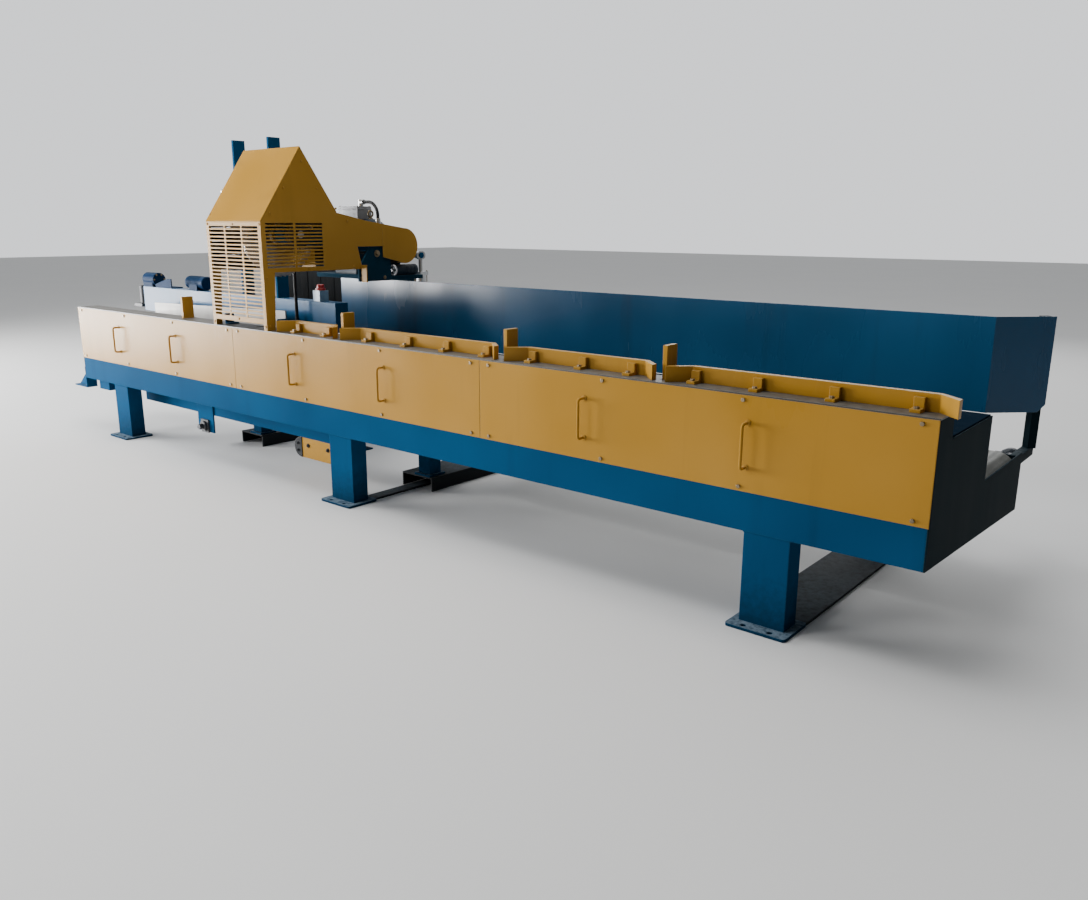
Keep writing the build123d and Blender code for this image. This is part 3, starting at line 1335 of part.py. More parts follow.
def make_hood():
    sheet = hood_sheet
    front = Pos((hood_left_x + hood_right_x) / 2, (table_height + hood_eave_z) / 2) \
        * Rectangle(hood_right_x - hood_left_x, hood_eave_z - table_height)
    front -= slot_field(front_slot_columns, front_slot_rows, hood_left_x + front_grille_margin,
                        hood_right_x - front_grille_margin, front_grille_bottom, front_grille_top)
    front -= Pos((hood_left_x + hood_right_x) / 2, (table_height + hood_bar_bottom) / 2) \
        * Rectangle(hood_right_x - hood_left_x - 2 * hood_leg_width, hood_bar_bottom - table_height)
    keep("hood_front", plate_y(front, 0, sheet))
    grille = slot_field(side_slot_columns, side_slot_rows, side_grille_front_y, side_grille_rear_y,
                        side_grille_bottom, side_grille_top)
    legs = [(hood_leg_depth, hood_bottom), (0.75 * hood_leg_depth, table_height)]
    gable = [(sheet, table_height), (sheet, hood_eave_z), (hood_ridge_y, hood_ridge_z),
             (hood_rear_y, hood_rear_z)]
    left = outline(gable + [(hood_inner_rear_y, hood_rear_z), (hood_inner_rear_y, hood_bottom)] + legs)
    tail = [(tail_top_y, tail_top_z), (tail_seam_y, tail_seam_top_z), (tail_seam_y, notch_top),
            (notch_front_y, notch_top), (notch_front_y + hood_leg_width, hood_bottom)]
    right = outline(gable + tail + legs)
    flange = block(hood_left_x + sheet, hood_left_x + hood_flange, hood_inner_rear_y - sheet,
                   hood_inner_rear_y, hood_bottom, hood_rear_z)
    foot = block(hood_right_x, hood_right_x + hood_foot_width, hood_foot_y, hood_foot_y + hood_foot_thickness,
                 saw_base_z - pedestal_plate, hood_bottom + 4 * hood_foot_thickness)
    keep("hood_sides", plate_x(right - grille, hood_right_x - sheet, hood_right_x),
         plate_x(left - grille, hood_left_x, hood_left_x + sheet), flange, foot)
    rise = sheet * math.hypot(hood_ridge_y, hood_ridge_z - hood_eave_z) / hood_ridge_y
    ridge = [(0, hood_eave_z), (hood_ridge_y, hood_ridge_z), (hood_rear_y, hood_rear_z)]
    roof = outline(ridge + [(y, z + rise) for y, z in reversed(ridge)])
    keep("hood_roof", plate_x(roof, hood_left_x, hood_right_x))


def make_belt_guard():
    """Rear cover of the belt, with the band that closes its top and rear edge."""
    sheet = hood_sheet
    top = [(hood_rear_y, hood_rear_z), (tail_top_y, tail_top_z), (tail_seam_y, tail_seam_top_z),
           (drive_y, drive_z + tail_radius)]
    round_end = Pos(drive_y, drive_z) * Circle(tail_radius)
    cover = outline([(tail_seam_y + part_gap, tail_seam_top_z), (drive_y, drive_z + tail_radius),
                     (drive_y, drive_z - tail_radius), (tail_seam_y + part_gap,
                                                        tail_seam_bottom_z)]) + round_end
    guard = plate_x(cover, hood_right_x - sheet, hood_right_x)
    inner = hood_right_x - sheet
    band = outline(top + [(y, z - sheet) for y, z in reversed(top)])
    ring = round_end - Pos(drive_y, drive_z) * Circle(tail_radius - sheet)
    ring -= Pos(drive_y - tail_radius, drive_z) * Rectangle(2 * tail_radius, 3 * tail_radius)
    guard += plate_x(band, inner - tail_depth, inner) + plate_x(ring, inner - tail_depth, inner)
    keep("belt_guard", guard)


def make_all():
    keep("front_beam", tube_x(inner_left, inner_right, cover_thickness, cabinet_depth, beam_bottom, beam_top,
                              beam_wall))
    make_cabinet()
    make_top_strip()
    make_covers()
    make_end_plates()
    make_front_legs()
    make_rear_legs()
    make_sills()
    make_bed()
    make_rollers()
    make_bearings()
    make_fence()
    make_kickers()
    make_under_table()
    make_rear_beam()
    make_hold_down()
    make_estop()
    make_infeed_drive()
    make_conveyor()
    make_gearmotor()
    make_wall()
    make_pedestal()
    make_swing_arm()
    make_drive()
    make_blade()
    make_motor()
    make_conduit()
    make_feed_cylinder()
    make_hood()
    make_belt_guard()


def footprint_middle():
    boxes = [piece.bounding_box() for piece in pieces.values()]
    middle_x = (min(box.min.X for box in boxes) + max(box.max.X for box in boxes)) / 2
    middle_y = (min(box.min.Y for box in boxes) + max(box.max.Y for box in boxes)) / 2
    return middle_x, middle_y


def write_parts(middle_x, middle_y):
    """Moves the origin to the middle of the footprint, on the floor, and writes one file per piece."""
    os.makedirs("parts", exist_ok=True)
    for name, piece in pieces.items():
        export_step(Pos(-middle_x, -middle_y, 0) * piece, f"parts/{name}.step")
    print("nodes", len(pieces), "middle", round(middle_x, 3), round(middle_y, 3))


make_all()
footprint = footprint_middle()
write_parts(*footprint)
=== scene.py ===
import math
import bmesh
import bpy
from mathutils import Matrix, Vector


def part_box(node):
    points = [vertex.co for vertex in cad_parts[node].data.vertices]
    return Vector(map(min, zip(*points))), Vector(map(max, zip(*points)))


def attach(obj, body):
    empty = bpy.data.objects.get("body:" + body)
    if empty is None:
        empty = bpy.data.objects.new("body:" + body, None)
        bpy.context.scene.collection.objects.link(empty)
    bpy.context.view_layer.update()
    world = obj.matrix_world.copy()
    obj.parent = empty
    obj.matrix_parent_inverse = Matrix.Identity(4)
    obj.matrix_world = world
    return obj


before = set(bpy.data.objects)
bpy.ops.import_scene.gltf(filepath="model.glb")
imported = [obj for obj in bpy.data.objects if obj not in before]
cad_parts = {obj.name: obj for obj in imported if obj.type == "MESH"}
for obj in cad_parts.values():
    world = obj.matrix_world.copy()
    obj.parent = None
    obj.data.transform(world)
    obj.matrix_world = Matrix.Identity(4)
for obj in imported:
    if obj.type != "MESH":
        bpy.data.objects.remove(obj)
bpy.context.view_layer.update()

metre = 1000  # pieces are measured in millimetres; materials, lights and camera in metres
mergeDistance = 1e-5  # metres
toLeft, toRight = (-1, 0, 0), (1, 0, 0)
toFront, toRear = (0, -1, 0), (0, 1, 0)
toTop = (0, 0, 1)


def millimetres(corner):  # whole ones
    return Vector([round(value * metre) for value in corner])


def nodeBox(node):  # lowest and highest corner of a node
    return [millimetres(corner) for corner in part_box(node)]


def solidBoxes(node):  # the same for each separate solid of a node, from left to right
    shape = bmesh.new()
    shape.from_mesh(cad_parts[node].data)
    bmesh.ops.remove_doubles(shape, verts=shape.verts, dist=mergeDistance)
    waiting = set(shape.verts)
    boxes = []
    while waiting:
        solid = [waiting.pop()]
        for corner in solid:  # the list grows while it is walked
            near = {edge.other_vert(corner) for edge in corner.link_edges} & waiting
            waiting -= near
            solid.extend(near)
        values = list(zip(*(corner.co for corner in solid)))
        boxes.append([millimetres(map(pick, values)) for pick in (min, max)])
    shape.free()
    return sorted(boxes, key=lambda box: tuple(box[0]))


class Wire:  # a socket that can be reckoned with
    def __init__(self, finish, socket):
        self.finish = finish
        self.socket = socket

    def reckon(self, operation, first, second):
        return self.finish.add("ShaderNodeMath", {"operation": operation}, {0: first, 1: second})

    def __add__(self, other):
        return self.reckon("ADD", self, other)

    def __radd__(self, other):
        return self.reckon("ADD", other, self)

    def __sub__(self, other):
        return self.reckon("SUBTRACT", self, other)

    def __rsub__(self, other):
        return self.reckon("SUBTRACT", other, self)

    def __mul__(self, other):
        return self.reckon("MULTIPLY", self, other)

    def __rmul__(self, other):
        return self.reckon("MULTIPLY", other, self)

    def __gt__(self, other):
        return self.reckon("GREATER_THAN", self, other)

    def __lt__(self, other):
        return self.reckon("LESS_THAN", self, other)


class Finish:  # a material, or the world, and the nodes that make it
    def __init__(self, owner, constants, shader="Principled BSDF", place="Object"):
        owner.use_nodes = True
        self.owner = owner
        self.tree = owner.node_tree
        self.shader = self.tree.nodes[shader]
        for socket, value in constants.items():
            self.shader.inputs[socket].default_value = value
        self.place = self.add("ShaderNodeTexCoord", {}, {}, place)

    def add(self, kind, settings, sockets, out=0):
        node = self.tree.nodes.new(kind)
        for key, value in settings.items():
            setattr(node, key, value)
        for key, value in sockets.items():
            if isinstance(value, Wire):
                self.tree.links.new(value.socket, node.inputs[key])
            else:
                node.inputs[key].default_value = value
        return Wire(self, node.outputs[out])

    def paint(self, wires):
        for socket, wire in wires.items():
            self.tree.links.new(wire.socket, self.shader.inputs[socket])
        return self.owner

    def cover(self, colour, rough, normal):  # the three usual sockets
        return self.paint({"Base Color": colour, "Roughness": rough, "Normal": normal})

    def mix(self, mask, low, high):  # 6, 7 and 2 are the node's colour sockets
        return self.add("ShaderNodeMix", {"data_type": "RGBA"}, {0: mask, 6: low, 7: high}, 2)

    def spread(self, value, low, high):  # 0 at low, 1 at high
        return self.add("ShaderNodeMapRange", {}, {"Value": value, "From Min": low, "From Max": high})

    def sway(self, mask, amount):  # a mask's swing about its middle
        return (mask - 0.5) * amount

    def vector(self, operation, first, second, out=0):
        return self.add("ShaderNodeVectorMath", {"operation": operation}, {0: first, 1: second}, out)

    def split(self, vector, axis):
        return self.add("ShaderNodeSeparateXYZ", {}, {0: vector}, axis)

    def grain(self, scale, detail=3.0, rough=0.55, stretch=None):
        place = self.vector("MULTIPLY", self.place, stretch) if stretch else self.place
        sockets = {"Vector": place, "Scale": scale, "Detail": detail, "Roughness": rough}
        return self.add("ShaderNodeTexNoise", {}, sockets)

    def ribs(self, direction, scale):
        sockets = {"Vector": self.place, "Scale": scale, "Distortion": 0.0}
        return self.add("ShaderNodeTexWave", {"bands_direction": direction}, sockets)

    def upward(self, low, high):  # mask of the faces that look up
        facing = self.add("ShaderNodeTexCoord", {}, {}, "Normal")
        return self.spread(self.split(facing, 2), low, high)

    def softNormal(self, width):  # as if the edges were rounded
        return self.add("ShaderNodeBevel", {"samples": 4}, {"Radius": width})

    def lean(self, soft):  # how far the rounded normal leans from the flat one
        flat = self.add("ShaderNodeNewGeometry", {}, {}, "Normal")
        return 1 - self.vector("DOT_PRODUCT", soft, flat, "Value")

    def bump(self, height, strength, distance, normal):
        sockets = {"Height": height, "Strength": strength, "Distance": distance, "Normal": normal}
        return self.add("ShaderNodeBump", {}, sockets)

    def reachFromX(self, centre):  # distance from an axis along X
        out = self.vector("SUBTRACT", self.place, centre)
        out = self.vector("MULTIPLY", out, (0.0, 1.0, 1.0))
        return self.add("ShaderNodeVectorMath", {"operation": "LENGTH"}, {0: out}, "Value")


def newFinish(name, constants):
    return Finish(bpy.data.materials.new(name), constants)


enamelShares = {  # the same for every enamel
    "coatRough": 0.12, "splash": 0.25, "dirtDust": 0.8, "edgeWear": 2.6, "patchWear": 0.9, "peel": 0.1,
    "swell": 0.9, "bump": 0.25, "broadRough": 0.16, "runsRough": 0.08, "dustRough": 0.35, "wornRough": 0.15,
}


def enamel(name, look):  # sprayed machine paint with worn edges, dust on top and grime near the floor; in the satin blue the dust on top is partly painted light
    look = dict(enamelShares, **look)
    finish = newFinish(name, {
        "Coat Weight": look["coat"], "Coat Roughness": look["coatRough"],
        "Specular IOR Level": look["shine"]})
    soft = finish.softNormal(look["edge"])
    broad = finish.grain(scale=1.3, detail=2.0)
    fine = finish.grain(scale=46.0, detail=5.0, rough=0.62)
    runs = finish.grain(scale=7.0, detail=4.0, rough=0.6, stretch=(1.0, 1.0, 0.09))
    peel = finish.grain(scale=310.0, detail=1.0)
    height = finish.split(finish.place, 2)
    colour = finish.mix(finish.spread(broad, low=0.35, high=0.68), look["deep"], look["fresh"])
    colour = finish.mix(finish.spread(runs, low=0.56, high=0.80) * look["runs"], colour, look["grime"])
    dirt = finish.spread(height + finish.sway(fine, look["splash"]), low=0.22, high=0.0) * look["floorDirt"]
    colour = finish.mix(dirt, colour, look["grime"])
    # dust on upward faces; with the satin blue's numbers this is partly real dust and partly painted light on
    # the tops
    dust = finish.upward(low=0.55, high=0.95) * finish.spread(fine, low=0.30, high=0.72)
    dust = dust * (look["dust"] + dirt * look["dirtDust"])
    colour = finish.mix(dust, colour, look["dustColour"])
    worn = finish.lean(soft) * look["edgeWear"] + finish.sway(fine, look["patchWear"])
    worn = finish.spread(worn, low=0.34, high=0.46) * look["wear"]
    colour = finish.mix(worn, colour, look["bare"])
    rough = look["rough"] + finish.sway(broad, look["broadRough"]) + finish.sway(runs, look["runsRough"])
    rough = rough + dust * look["dustRough"] + worn * look["wornRough"]
    swell = peel * look["peel"] + broad * look["swell"]
    return finish.cover(colour, rough, finish.bump(swell, look["bump"], look["wave"], soft))


ochreLook = {
    "fresh": (0.408, 0.218, 0.038, 1), "deep": (0.344, 0.175, 0.018, 1), "grime": (0.09, 0.048, 0.010, 1),
    "dustColour": (0.52, 0.38, 0.17, 1), "bare": (0.60, 0.42, 0.15, 1), "coat": 0.0, "edge": 0.004,
    "shine": 0.06, "runs": 0.20, "floorDirt": 0.3, "dust": 0.30, "wear": 0.5, "rough": 0.30, "wave": 0.010,
}
deepBlueLook = {  # what the other blues start from
    "fresh": (0.0035, 0.066, 0.152, 1), "deep": (0.0022, 0.046, 0.108, 1), "grime": (0.005, 0.011, 0.016, 1),
    "dustColour": (0.20, 0.26, 0.30, 1), "bare": (0.09, 0.21, 0.32, 1), "coat": 0.0, "edge": 0.005,
    "shine": 0.35, "runs": 0.30, "floorDirt": 0.6, "dust": 0.22, "wear": 0.55, "rough": 0.28, "wave": 0.006,
}
# its raised dust and pale blue dust colour are partly real dust and partly painted light on upward faces
satinBlueLook = dict(deepBlueLook, fresh=(0.0040, 0.060, 0.146, 1), deep=(0.0028, 0.044, 0.110, 1),
                     shine=0.005, rough=0.50, runs=0.22, wear=0.45, dust=0.40,
                     dustColour=(0.26, 0.35, 0.42, 1))
wallBlueLook = dict(deepBlueLook, shine=0.38, rough=0.27, wave=0.003)
# lighter copy of the wall blue for the rear beam: painted light, as if a window lit it from the left and
# above
paintedLitBlueLook = dict(wallBlueLook, fresh=(0.006, 0.085, 0.20, 1), deep=(0.004, 0.060, 0.15, 1),
                     shine=0.09, rough=0.32)
dullBlueLook = dict(deepBlueLook, fresh=(0.0045, 0.016, 0.022, 1), deep=(0.0030, 0.010, 0.014, 1),
                    bare=(0.03, 0.06, 0.08, 1), shine=0.02, rough=0.60)
# darker, greyer copy of the satin blue for the saw pedestal: painted shade of the pedestal under the hood
paintedShadeBlueLook = dict(satinBlueLook, fresh=(0.010, 0.040, 0.068, 1), deep=(0.007, 0.028, 0.048, 1), dust=0.15)
motorBlueLook = dict(satinBlueLook, fresh=(0.006, 0.030, 0.085, 1), deep=(0.004, 0.018, 0.050, 1),
                     shine=0.02, dust=0.12, floorDirt=0.0)
blackIronLook = dict(dullBlueLook, fresh=(0.020, 0.023, 0.026, 1), deep=(0.012, 0.014, 0.016, 1),
                     bare=(0.10, 0.10, 0.10, 1), dust=0.12, floorDirt=0.2, shine=0.12, rough=0.7)
slateLook = {
    "fresh": (0.022, 0.036, 0.052, 1), "deep": (0.014, 0.024, 0.036, 1), "grime": (0.006, 0.007, 0.008, 1),
    "dustColour": (0.22, 0.21, 0.19, 1), "bare": (0.13, 0.15, 0.17, 1), "coat": 0.0, "edge": 0.003,
    "shine": 0.12, "runs": 0.30, "floorDirt": 0.0, "dust": 0.25, "wear": 0.5, "rough": 0.42, "wave": 0.004,
}
stripLook = {
    "fresh": (0.055, 0.052, 0.046, 1), "deep": (0.032, 0.032, 0.030, 1), "grime": (0.012, 0.012, 0.013, 1),
    "dustColour": (0.25, 0.22, 0.17, 1), "bare": (0.30, 0.29, 0.26, 1), "coat": 0.0, "edge": 0.002,
    "shine": 0.4, "runs": 0.35, "floorDirt": 0.0, "dust": 0.45, "wear": 0.9, "rough": 0.42, "wave": 0.003,
}
castLook = {
    "fresh": (0.035, 0.039, 0.044, 1), "deep": (0.020, 0.023, 0.027, 1), "grime": (0.008, 0.008, 0.008, 1),
    "dustColour": (0.18, 0.16, 0.14, 1), "bare": (0.18, 0.18, 0.18, 1), "coat": 0.0, "edge": 0.003,
    "shine": 0.35, "runs": 0.2, "floorDirt": 0.0, "dust": 0.35, "wear": 0.6, "rough": 0.55, "wave": 0.012,
}

metalShares = {  # the same for every metal
    "drawn": 0.25, "patchRust": 0.5, "edgeShare": 0.6, "bump": 0.12, "lineDepth": 0.0015, "linesRough": 0.24,
    "patchRough": 0.18, "rustRough": 0.3,
}


def metal(name, look):  # bare worked metal: drawn lines, dull patches, specks of rust, bright edges
    look = dict(metalShares, **look)
    finish = newFinish(name, {"Metallic": look["metallic"], "Anisotropic": look["drawn"]})
    soft = finish.softNormal(look["edge"])
    lines = finish.grain(look["lineScale"], detail=3.0, rough=0.6, stretch=look["lineStretch"])
    patch = finish.grain(scale=5.0, detail=4.0, rough=0.6)
    speck = finish.grain(scale=90.0, detail=5.0, rough=0.7)
    colour = finish.mix(finish.spread(patch, low=0.38, high=0.66), look["dull"], look["bright"])
    rust = finish.spread(speck + finish.sway(patch, look["patchRust"]), low=0.66, high=0.78) * look["rust"]
    colour = finish.mix(rust, colour, look["rustColour"])
    edges = finish.spread(finish.lean(soft), low=0.08, high=0.30) * look["edgeShare"]
    colour = finish.mix(edges, colour, look["edgeColour"])
    rough = look["rough"] + finish.sway(lines, look["linesRough"]) + finish.sway(patch, look["patchRough"])
    rough = rough + rust * look["rustRough"]
    return finish.cover(colour, rough, finish.bump(lines, look["bump"], look["lineDepth"], soft))


steelLook = {
    "bright": (0.62, 0.62, 0.61, 1), "dull": (0.42, 0.42, 0.42, 1), "edgeColour": (0.82, 0.82, 0.81, 1),
    "rustColour": (0.16, 0.07, 0.03, 1), "rust": 0.45, "rough": 0.34, "metallic": 0.9, "edge": 0.002,
    "lineScale": 60.0, "lineStretch": (0.05, 1.0, 1.0),
}
aluminiumLook = {
    "bright": (0.72, 0.73, 0.74, 1), "dull": (0.54, 0.55, 0.56, 1), "edgeColour": (0.85, 0.86, 0.87, 1),
    "rustColour": (0.30, 0.29, 0.28, 1), "rust": 0.3, "rough": 0.40, "metallic": 0.8, "edge": 0.003,
    "lineScale": 70.0, "lineStretch": (1.0, 1.0, 0.08),
}
zincLook = {
    "bright": (0.26, 0.20, 0.12, 1), "dull": (0.16, 0.12, 0.07, 1), "edgeColour": (0.42, 0.36, 0.26, 1),
    "rustColour": (0.10, 0.05, 0.02, 1), "rust": 0.5, "rough": 0.42, "metallic": 0.6, "edge": 0.0015,
    "lineScale": 160.0, "lineStretch": (1.0, 1.0, 1.0),
}
greyCastLook = dict(aluminiumLook, bright=(0.34, 0.345, 0.36, 1), dull=(0.22, 0.225, 0.235, 1),
                    edgeColour=(0.50, 0.51, 0.52, 1), metallic=0.3, rough=0.55)
boardLook = {
    "bright": (0.36, 0.35, 0.33, 1), "dull": (0.24, 0.23, 0.22, 1), "edgeColour": (0.52, 0.51, 0.49, 1),
    "rustColour": (0.24, 0.17, 0.10, 1), "rust": 0.35, "rough": 0.52, "metallic": 0.35, "edge": 0.002,
    "lineScale": 30.0, "lineStretch": (0.06, 1.0, 1.0),
}


def sawnDeck(name, look):  # bed plates polished by timber, with sawdust near the blade
    finish = newFinish(name, {"Specular IOR Level": look["shine"]})
    soft = finish.softNormal(look["edge"])
    lines = finish.grain(scale=42.0, detail=4.0, rough=0.65, stretch=(0.04, 1.0, 1.0))
    patch = finish.grain(scale=2.4, detail=4.0, rough=0.6)
    crumbs = finish.grain(scale=120.0, detail=5.0, rough=0.75)
    across = finish.split(finish.place, 0)
    near = finish.spread(across, *look["dustLeft"]) * finish.spread(across, *look["dustRight"])
    colour = finish.mix(finish.spread(patch, low=0.35, high=0.66), look["deep"], look["fresh"])
    colour = finish.mix(finish.spread(lines, low=0.60, high=0.82) * look["rubbing"], colour, look["rubbed"])
    dust = finish.spread(crumbs + finish.sway(patch, look["patchDust"]), low=0.60, high=0.74)
    dust = dust * (look["dust"] + near * look["nearDust"])
    colour = finish.mix(dust, colour, look["dustColour"])
    rough = look["rough"] + finish.sway(lines, look["linesRough"]) + dust * look["dustRough"]
    height = lines * look["lineHeight"] + dust * crumbs
    return finish.cover(colour, rough, finish.bump(height, look["bump"], look["depth"], soft))


# the near-black deck tones are painted shade of the shadowed bed; the rubbed lines and sawdust are real
deckLook = {
    "fresh": (0.011, 0.022, 0.036, 1), "deep": (0.005, 0.013, 0.024, 1), "rubbed": (0.11, 0.12, 0.13, 1),
    "dustColour": (0.60, 0.44, 0.25, 1), "shine": 0.0, "edge": 0.002, "rubbing": 0.5, "patchDust": 0.9,
    "dust": 0.25, "nearDust": 0.65, "rough": 0.48, "linesRough": 0.3, "dustRough": 0.35, "lineHeight": 0.4,
    "bump": 0.3, "depth": 0.003,
    "dustLeft": (-1.9, -0.9), "dustRight": (0.4, -0.4),  # where sawdust begins and where it is full
}


def groundBlade(name, look):  # turned saw plate: rings about the arbor, heat and pitch near the teeth
    finish = newFinish(name, {"Metallic": 1.0})
    low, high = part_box("saw_blade")
    soft = finish.softNormal(look["edge"])
    reach = finish.reachFromX((low + high) / 2)
    turning = {"W": reach, "Scale": look["ringScale"], "Detail": 3.0}
    rings = finish.add("ShaderNodeTexNoise", {"noise_dimensions": "1D"}, turning)
    blotch = finish.grain(scale=16.0, detail=4.0)
    pitch = finish.spread(reach, *look["pitchBand"]) * finish.spread(blotch, low=0.35, high=0.7)
    colour = finish.mix(finish.spread(blotch, low=0.3, high=0.7), look["dull"], look["bright"])
    colour = finish.mix(pitch * look["pitchShare"], colour, look["pitch"])
    rough = look["rough"] + finish.sway(rings, look["ringsRough"]) + pitch * look["pitchRough"]
    return finish.cover(colour, rough, finish.bump(rings, look["bump"], look["depth"], soft))


bladeLook = {
    "bright": (0.66, 0.66, 0.65, 1), "dull": (0.50, 0.50, 0.50, 1), "pitch": (0.20, 0.12, 0.05, 1),
    "edge": 0.001, "ringScale": 900.0, "pitchBand": (0.205, 0.25), "pitchShare": 0.7, "rough": 0.24,
    "ringsRough": 0.25, "pitchRough": 0.3, "bump": 0.15, "depth": 0.0008,
}


def ribbedBelt(name, look):  # moulded rubber with cross ribs and a wood-dust bloom
    finish = newFinish(name, {"Specular IOR Level": look["shine"]})
    soft = finish.softNormal(look["edge"])
    ribs = finish.ribs(look["across"], look["ribScale"])
    patch = finish.grain(scale=3.0, detail=5.0, rough=0.65)
    crumbs = finish.grain(scale=140.0, detail=4.0, rough=0.7)
    colour = finish.mix(finish.spread(patch, low=0.35, high=0.65), look["dark"], look["light"])
    colour = finish.mix(ribs * look["ribShare"], colour, look["light"])
    dust = finish.upward(low=0.4, high=0.9) * finish.spread(crumbs + (patch - 0.5), low=0.55, high=0.8)
    dust = dust * look["dust"]
    colour = finish.mix(dust, colour, look["dustColour"])
    rough = look["rough"] + finish.sway(patch, look["patchRough"]) + dust * look["dustRough"]
    height = ribs * look["ribHeight"] + crumbs * look["crumbHeight"]
    return finish.cover(colour, rough, finish.bump(height, look["bump"], look["ribDepth"], soft))


greyBeltLook = {
    "dark": (0.125, 0.128, 0.118, 1), "light": (0.215, 0.218, 0.202, 1), "dustColour": (0.52, 0.43, 0.30, 1),
    "shine": 0.35, "edge": 0.003, "across": "X", "ribScale": 9.0, "ribShare": 0.35, "dust": 0.5,
    "rough": 0.62, "patchRough": 0.2, "dustRough": 0.2, "ribHeight": 0.8, "crumbHeight": 0.2, "bump": 0.5,
    "ribDepth": 0.004,
}
vBeltLook = dict(greyBeltLook, dark=(0.012, 0.012, 0.012, 1), light=(0.030, 0.030, 0.030, 1), dust=0.25,
                 across="Y", ribScale=20.0, ribDepth=0.001)
mouldedShares = {"edge": 0.002, "edgeShare": 0.5, "marksRough": 0.25, "bump": 0.2, "depth": 0.0006}


def moulded(name, look):  # moulded plastic or rubber: fine skin, rubbed edges, hand marks
    look = dict(mouldedShares, **look)
    finish = newFinish(name, {"Coat Weight": look["coat"], "Specular IOR Level": look["shine"]})
    soft = finish.softNormal(look["edge"])
    grain = finish.grain(scale=420.0, detail=2.0)
    marks = finish.grain(scale=11.0, detail=4.0, rough=0.6)
    colour = finish.mix(finish.spread(marks, low=0.40, high=0.75), look["fresh"], look["rubbed"])
    edges = finish.spread(finish.lean(soft), low=0.08, high=0.3) * look["edgeShare"]
    colour = finish.mix(edges, colour, look["pale"])
    rough = look["rough"] + finish.sway(marks, look["marksRough"])
    return finish.cover(colour, rough, finish.bump(grain, look["bump"], look["depth"], soft))


buttonLook = {"fresh": (0.48, 0.018, 0.016, 1), "rubbed": (0.38, 0.012, 0.012, 1),
              "pale": (0.70, 0.12, 0.10, 1), "coat": 0.3, "shine": 0.5, "rough": 0.36}
boxLook = {"fresh": (0.30, 0.46, 0.60, 1), "rubbed": (0.23, 0.37, 0.51, 1),
           "pale": (0.62, 0.74, 0.83, 1), "coat": 0.1, "shine": 0.5, "rough": 0.45}
padLook = {"fresh": (0.005, 0.006, 0.007, 1), "rubbed": (0.010, 0.010, 0.010, 1),
           "pale": (0.035, 0.034, 0.032, 1), "coat": 0.0, "shine": 0.03, "rough": 0.75}


def ribbedSheath(name, look):  # corrugated black conduit; its two end fittings are bare metal
    finish = newFinish(name, {"Specular IOR Level": look["shine"]})
    soft = finish.softNormal(look["edge"])
    across = finish.split(finish.place, 0)
    height = finish.split(finish.place, 2)
    marks = finish.grain(scale=30.0, detail=4.0, rough=0.6)
    atEnds = (across < look["tubeLeft"]) + (height < look["tubeLow"])
    fitting = finish.spread(atEnds * (height > look["dropTop"]), low=0.0, high=1.0)
    turns = finish.ribs("DIAGONAL", look["ribScale"])
    colour = finish.mix(finish.spread(marks, low=0.40, high=0.75), look["fresh"], look["rubbed"])
    colour = finish.mix(turns * look["turnShare"], colour, look["rubbed"])
    colour = finish.mix(fitting, colour, look["metal"])
    rough = look["rough"] + finish.sway(marks, look["marksRough"]) - fitting * look["metalSmooth"]
    finish.paint({"Metallic": fitting * look["metallic"]})
    turns = turns * (1 - fitting)
    return finish.cover(colour, rough, finish.bump(turns, look["bump"], look["ribDepth"], soft))


sheathLook = {
    "fresh": (0.012, 0.012, 0.013, 1), "rubbed": (0.028, 0.027, 0.026, 1), "metal": (0.55, 0.55, 0.54, 1),
    "shine": 0.15, "edge": 0.002, "turnShare": 0.4, "rough": 0.42, "marksRough": 0.25, "metalSmooth": 0.1,
    "metallic": 0.9, "bump": 0.6, "ribScale": 55.0, "ribDepth": 0.002,
    "tubeLeft": -0.863, "tubeLow": 1.537, "dropTop": 1.4,  # the tube's ends; the drop conduit is lower
}

finishes = {
    "ochre": enamel("ochreEnamel", ochreLook),
    "satinBlue": enamel("satinBlueEnamel", satinBlueLook),
    "wallBlue": enamel("wallBlueEnamel", wallBlueLook),
    "paintedLitBlue": enamel("paintedLitBlueEnamel", paintedLitBlueLook),
    "motorBlue": enamel("motorBlueEnamel", motorBlueLook),
    "blackIron": enamel("blackIron", blackIronLook),
    "dullBlue": enamel("dullBlueEnamel", dullBlueLook),
    "paintedShadeBlue": enamel("paintedShadeBlueEnamel", paintedShadeBlueLook),
    "slate": enamel("slateEnamel", slateLook),
    "strip": enamel("rubbedStrip", stripLook),
    "cast": enamel("darkCasting", castLook),
    "steel": metal("bareSteel", steelLook),
    "aluminium": metal("drawnAluminium", aluminiumLook),
    "zinc": metal("zincBolt", zincLook),
    "greyCast": metal("greyCasting", greyCastLook),
    "board": metal("scuffedBoard", boardLook),
    "deck": sawnDeck("sawnDeck", deckLook),
    "blade": groundBlade("groundBlade", bladeLook),
    "greyBelt": ribbedBelt("greyBelt", greyBeltLook),
    "vBelt": ribbedBelt("vBelt", vBeltLook),
    "button": moulded("redButton", buttonLook),
    "box": moulded("paleBlueBox", boxLook),
    "sheath": ribbedSheath("blackSheath", sheathLook),
    "pad": moulded("blackPad", padLook),
}
print("finishes made:", len(finishes))

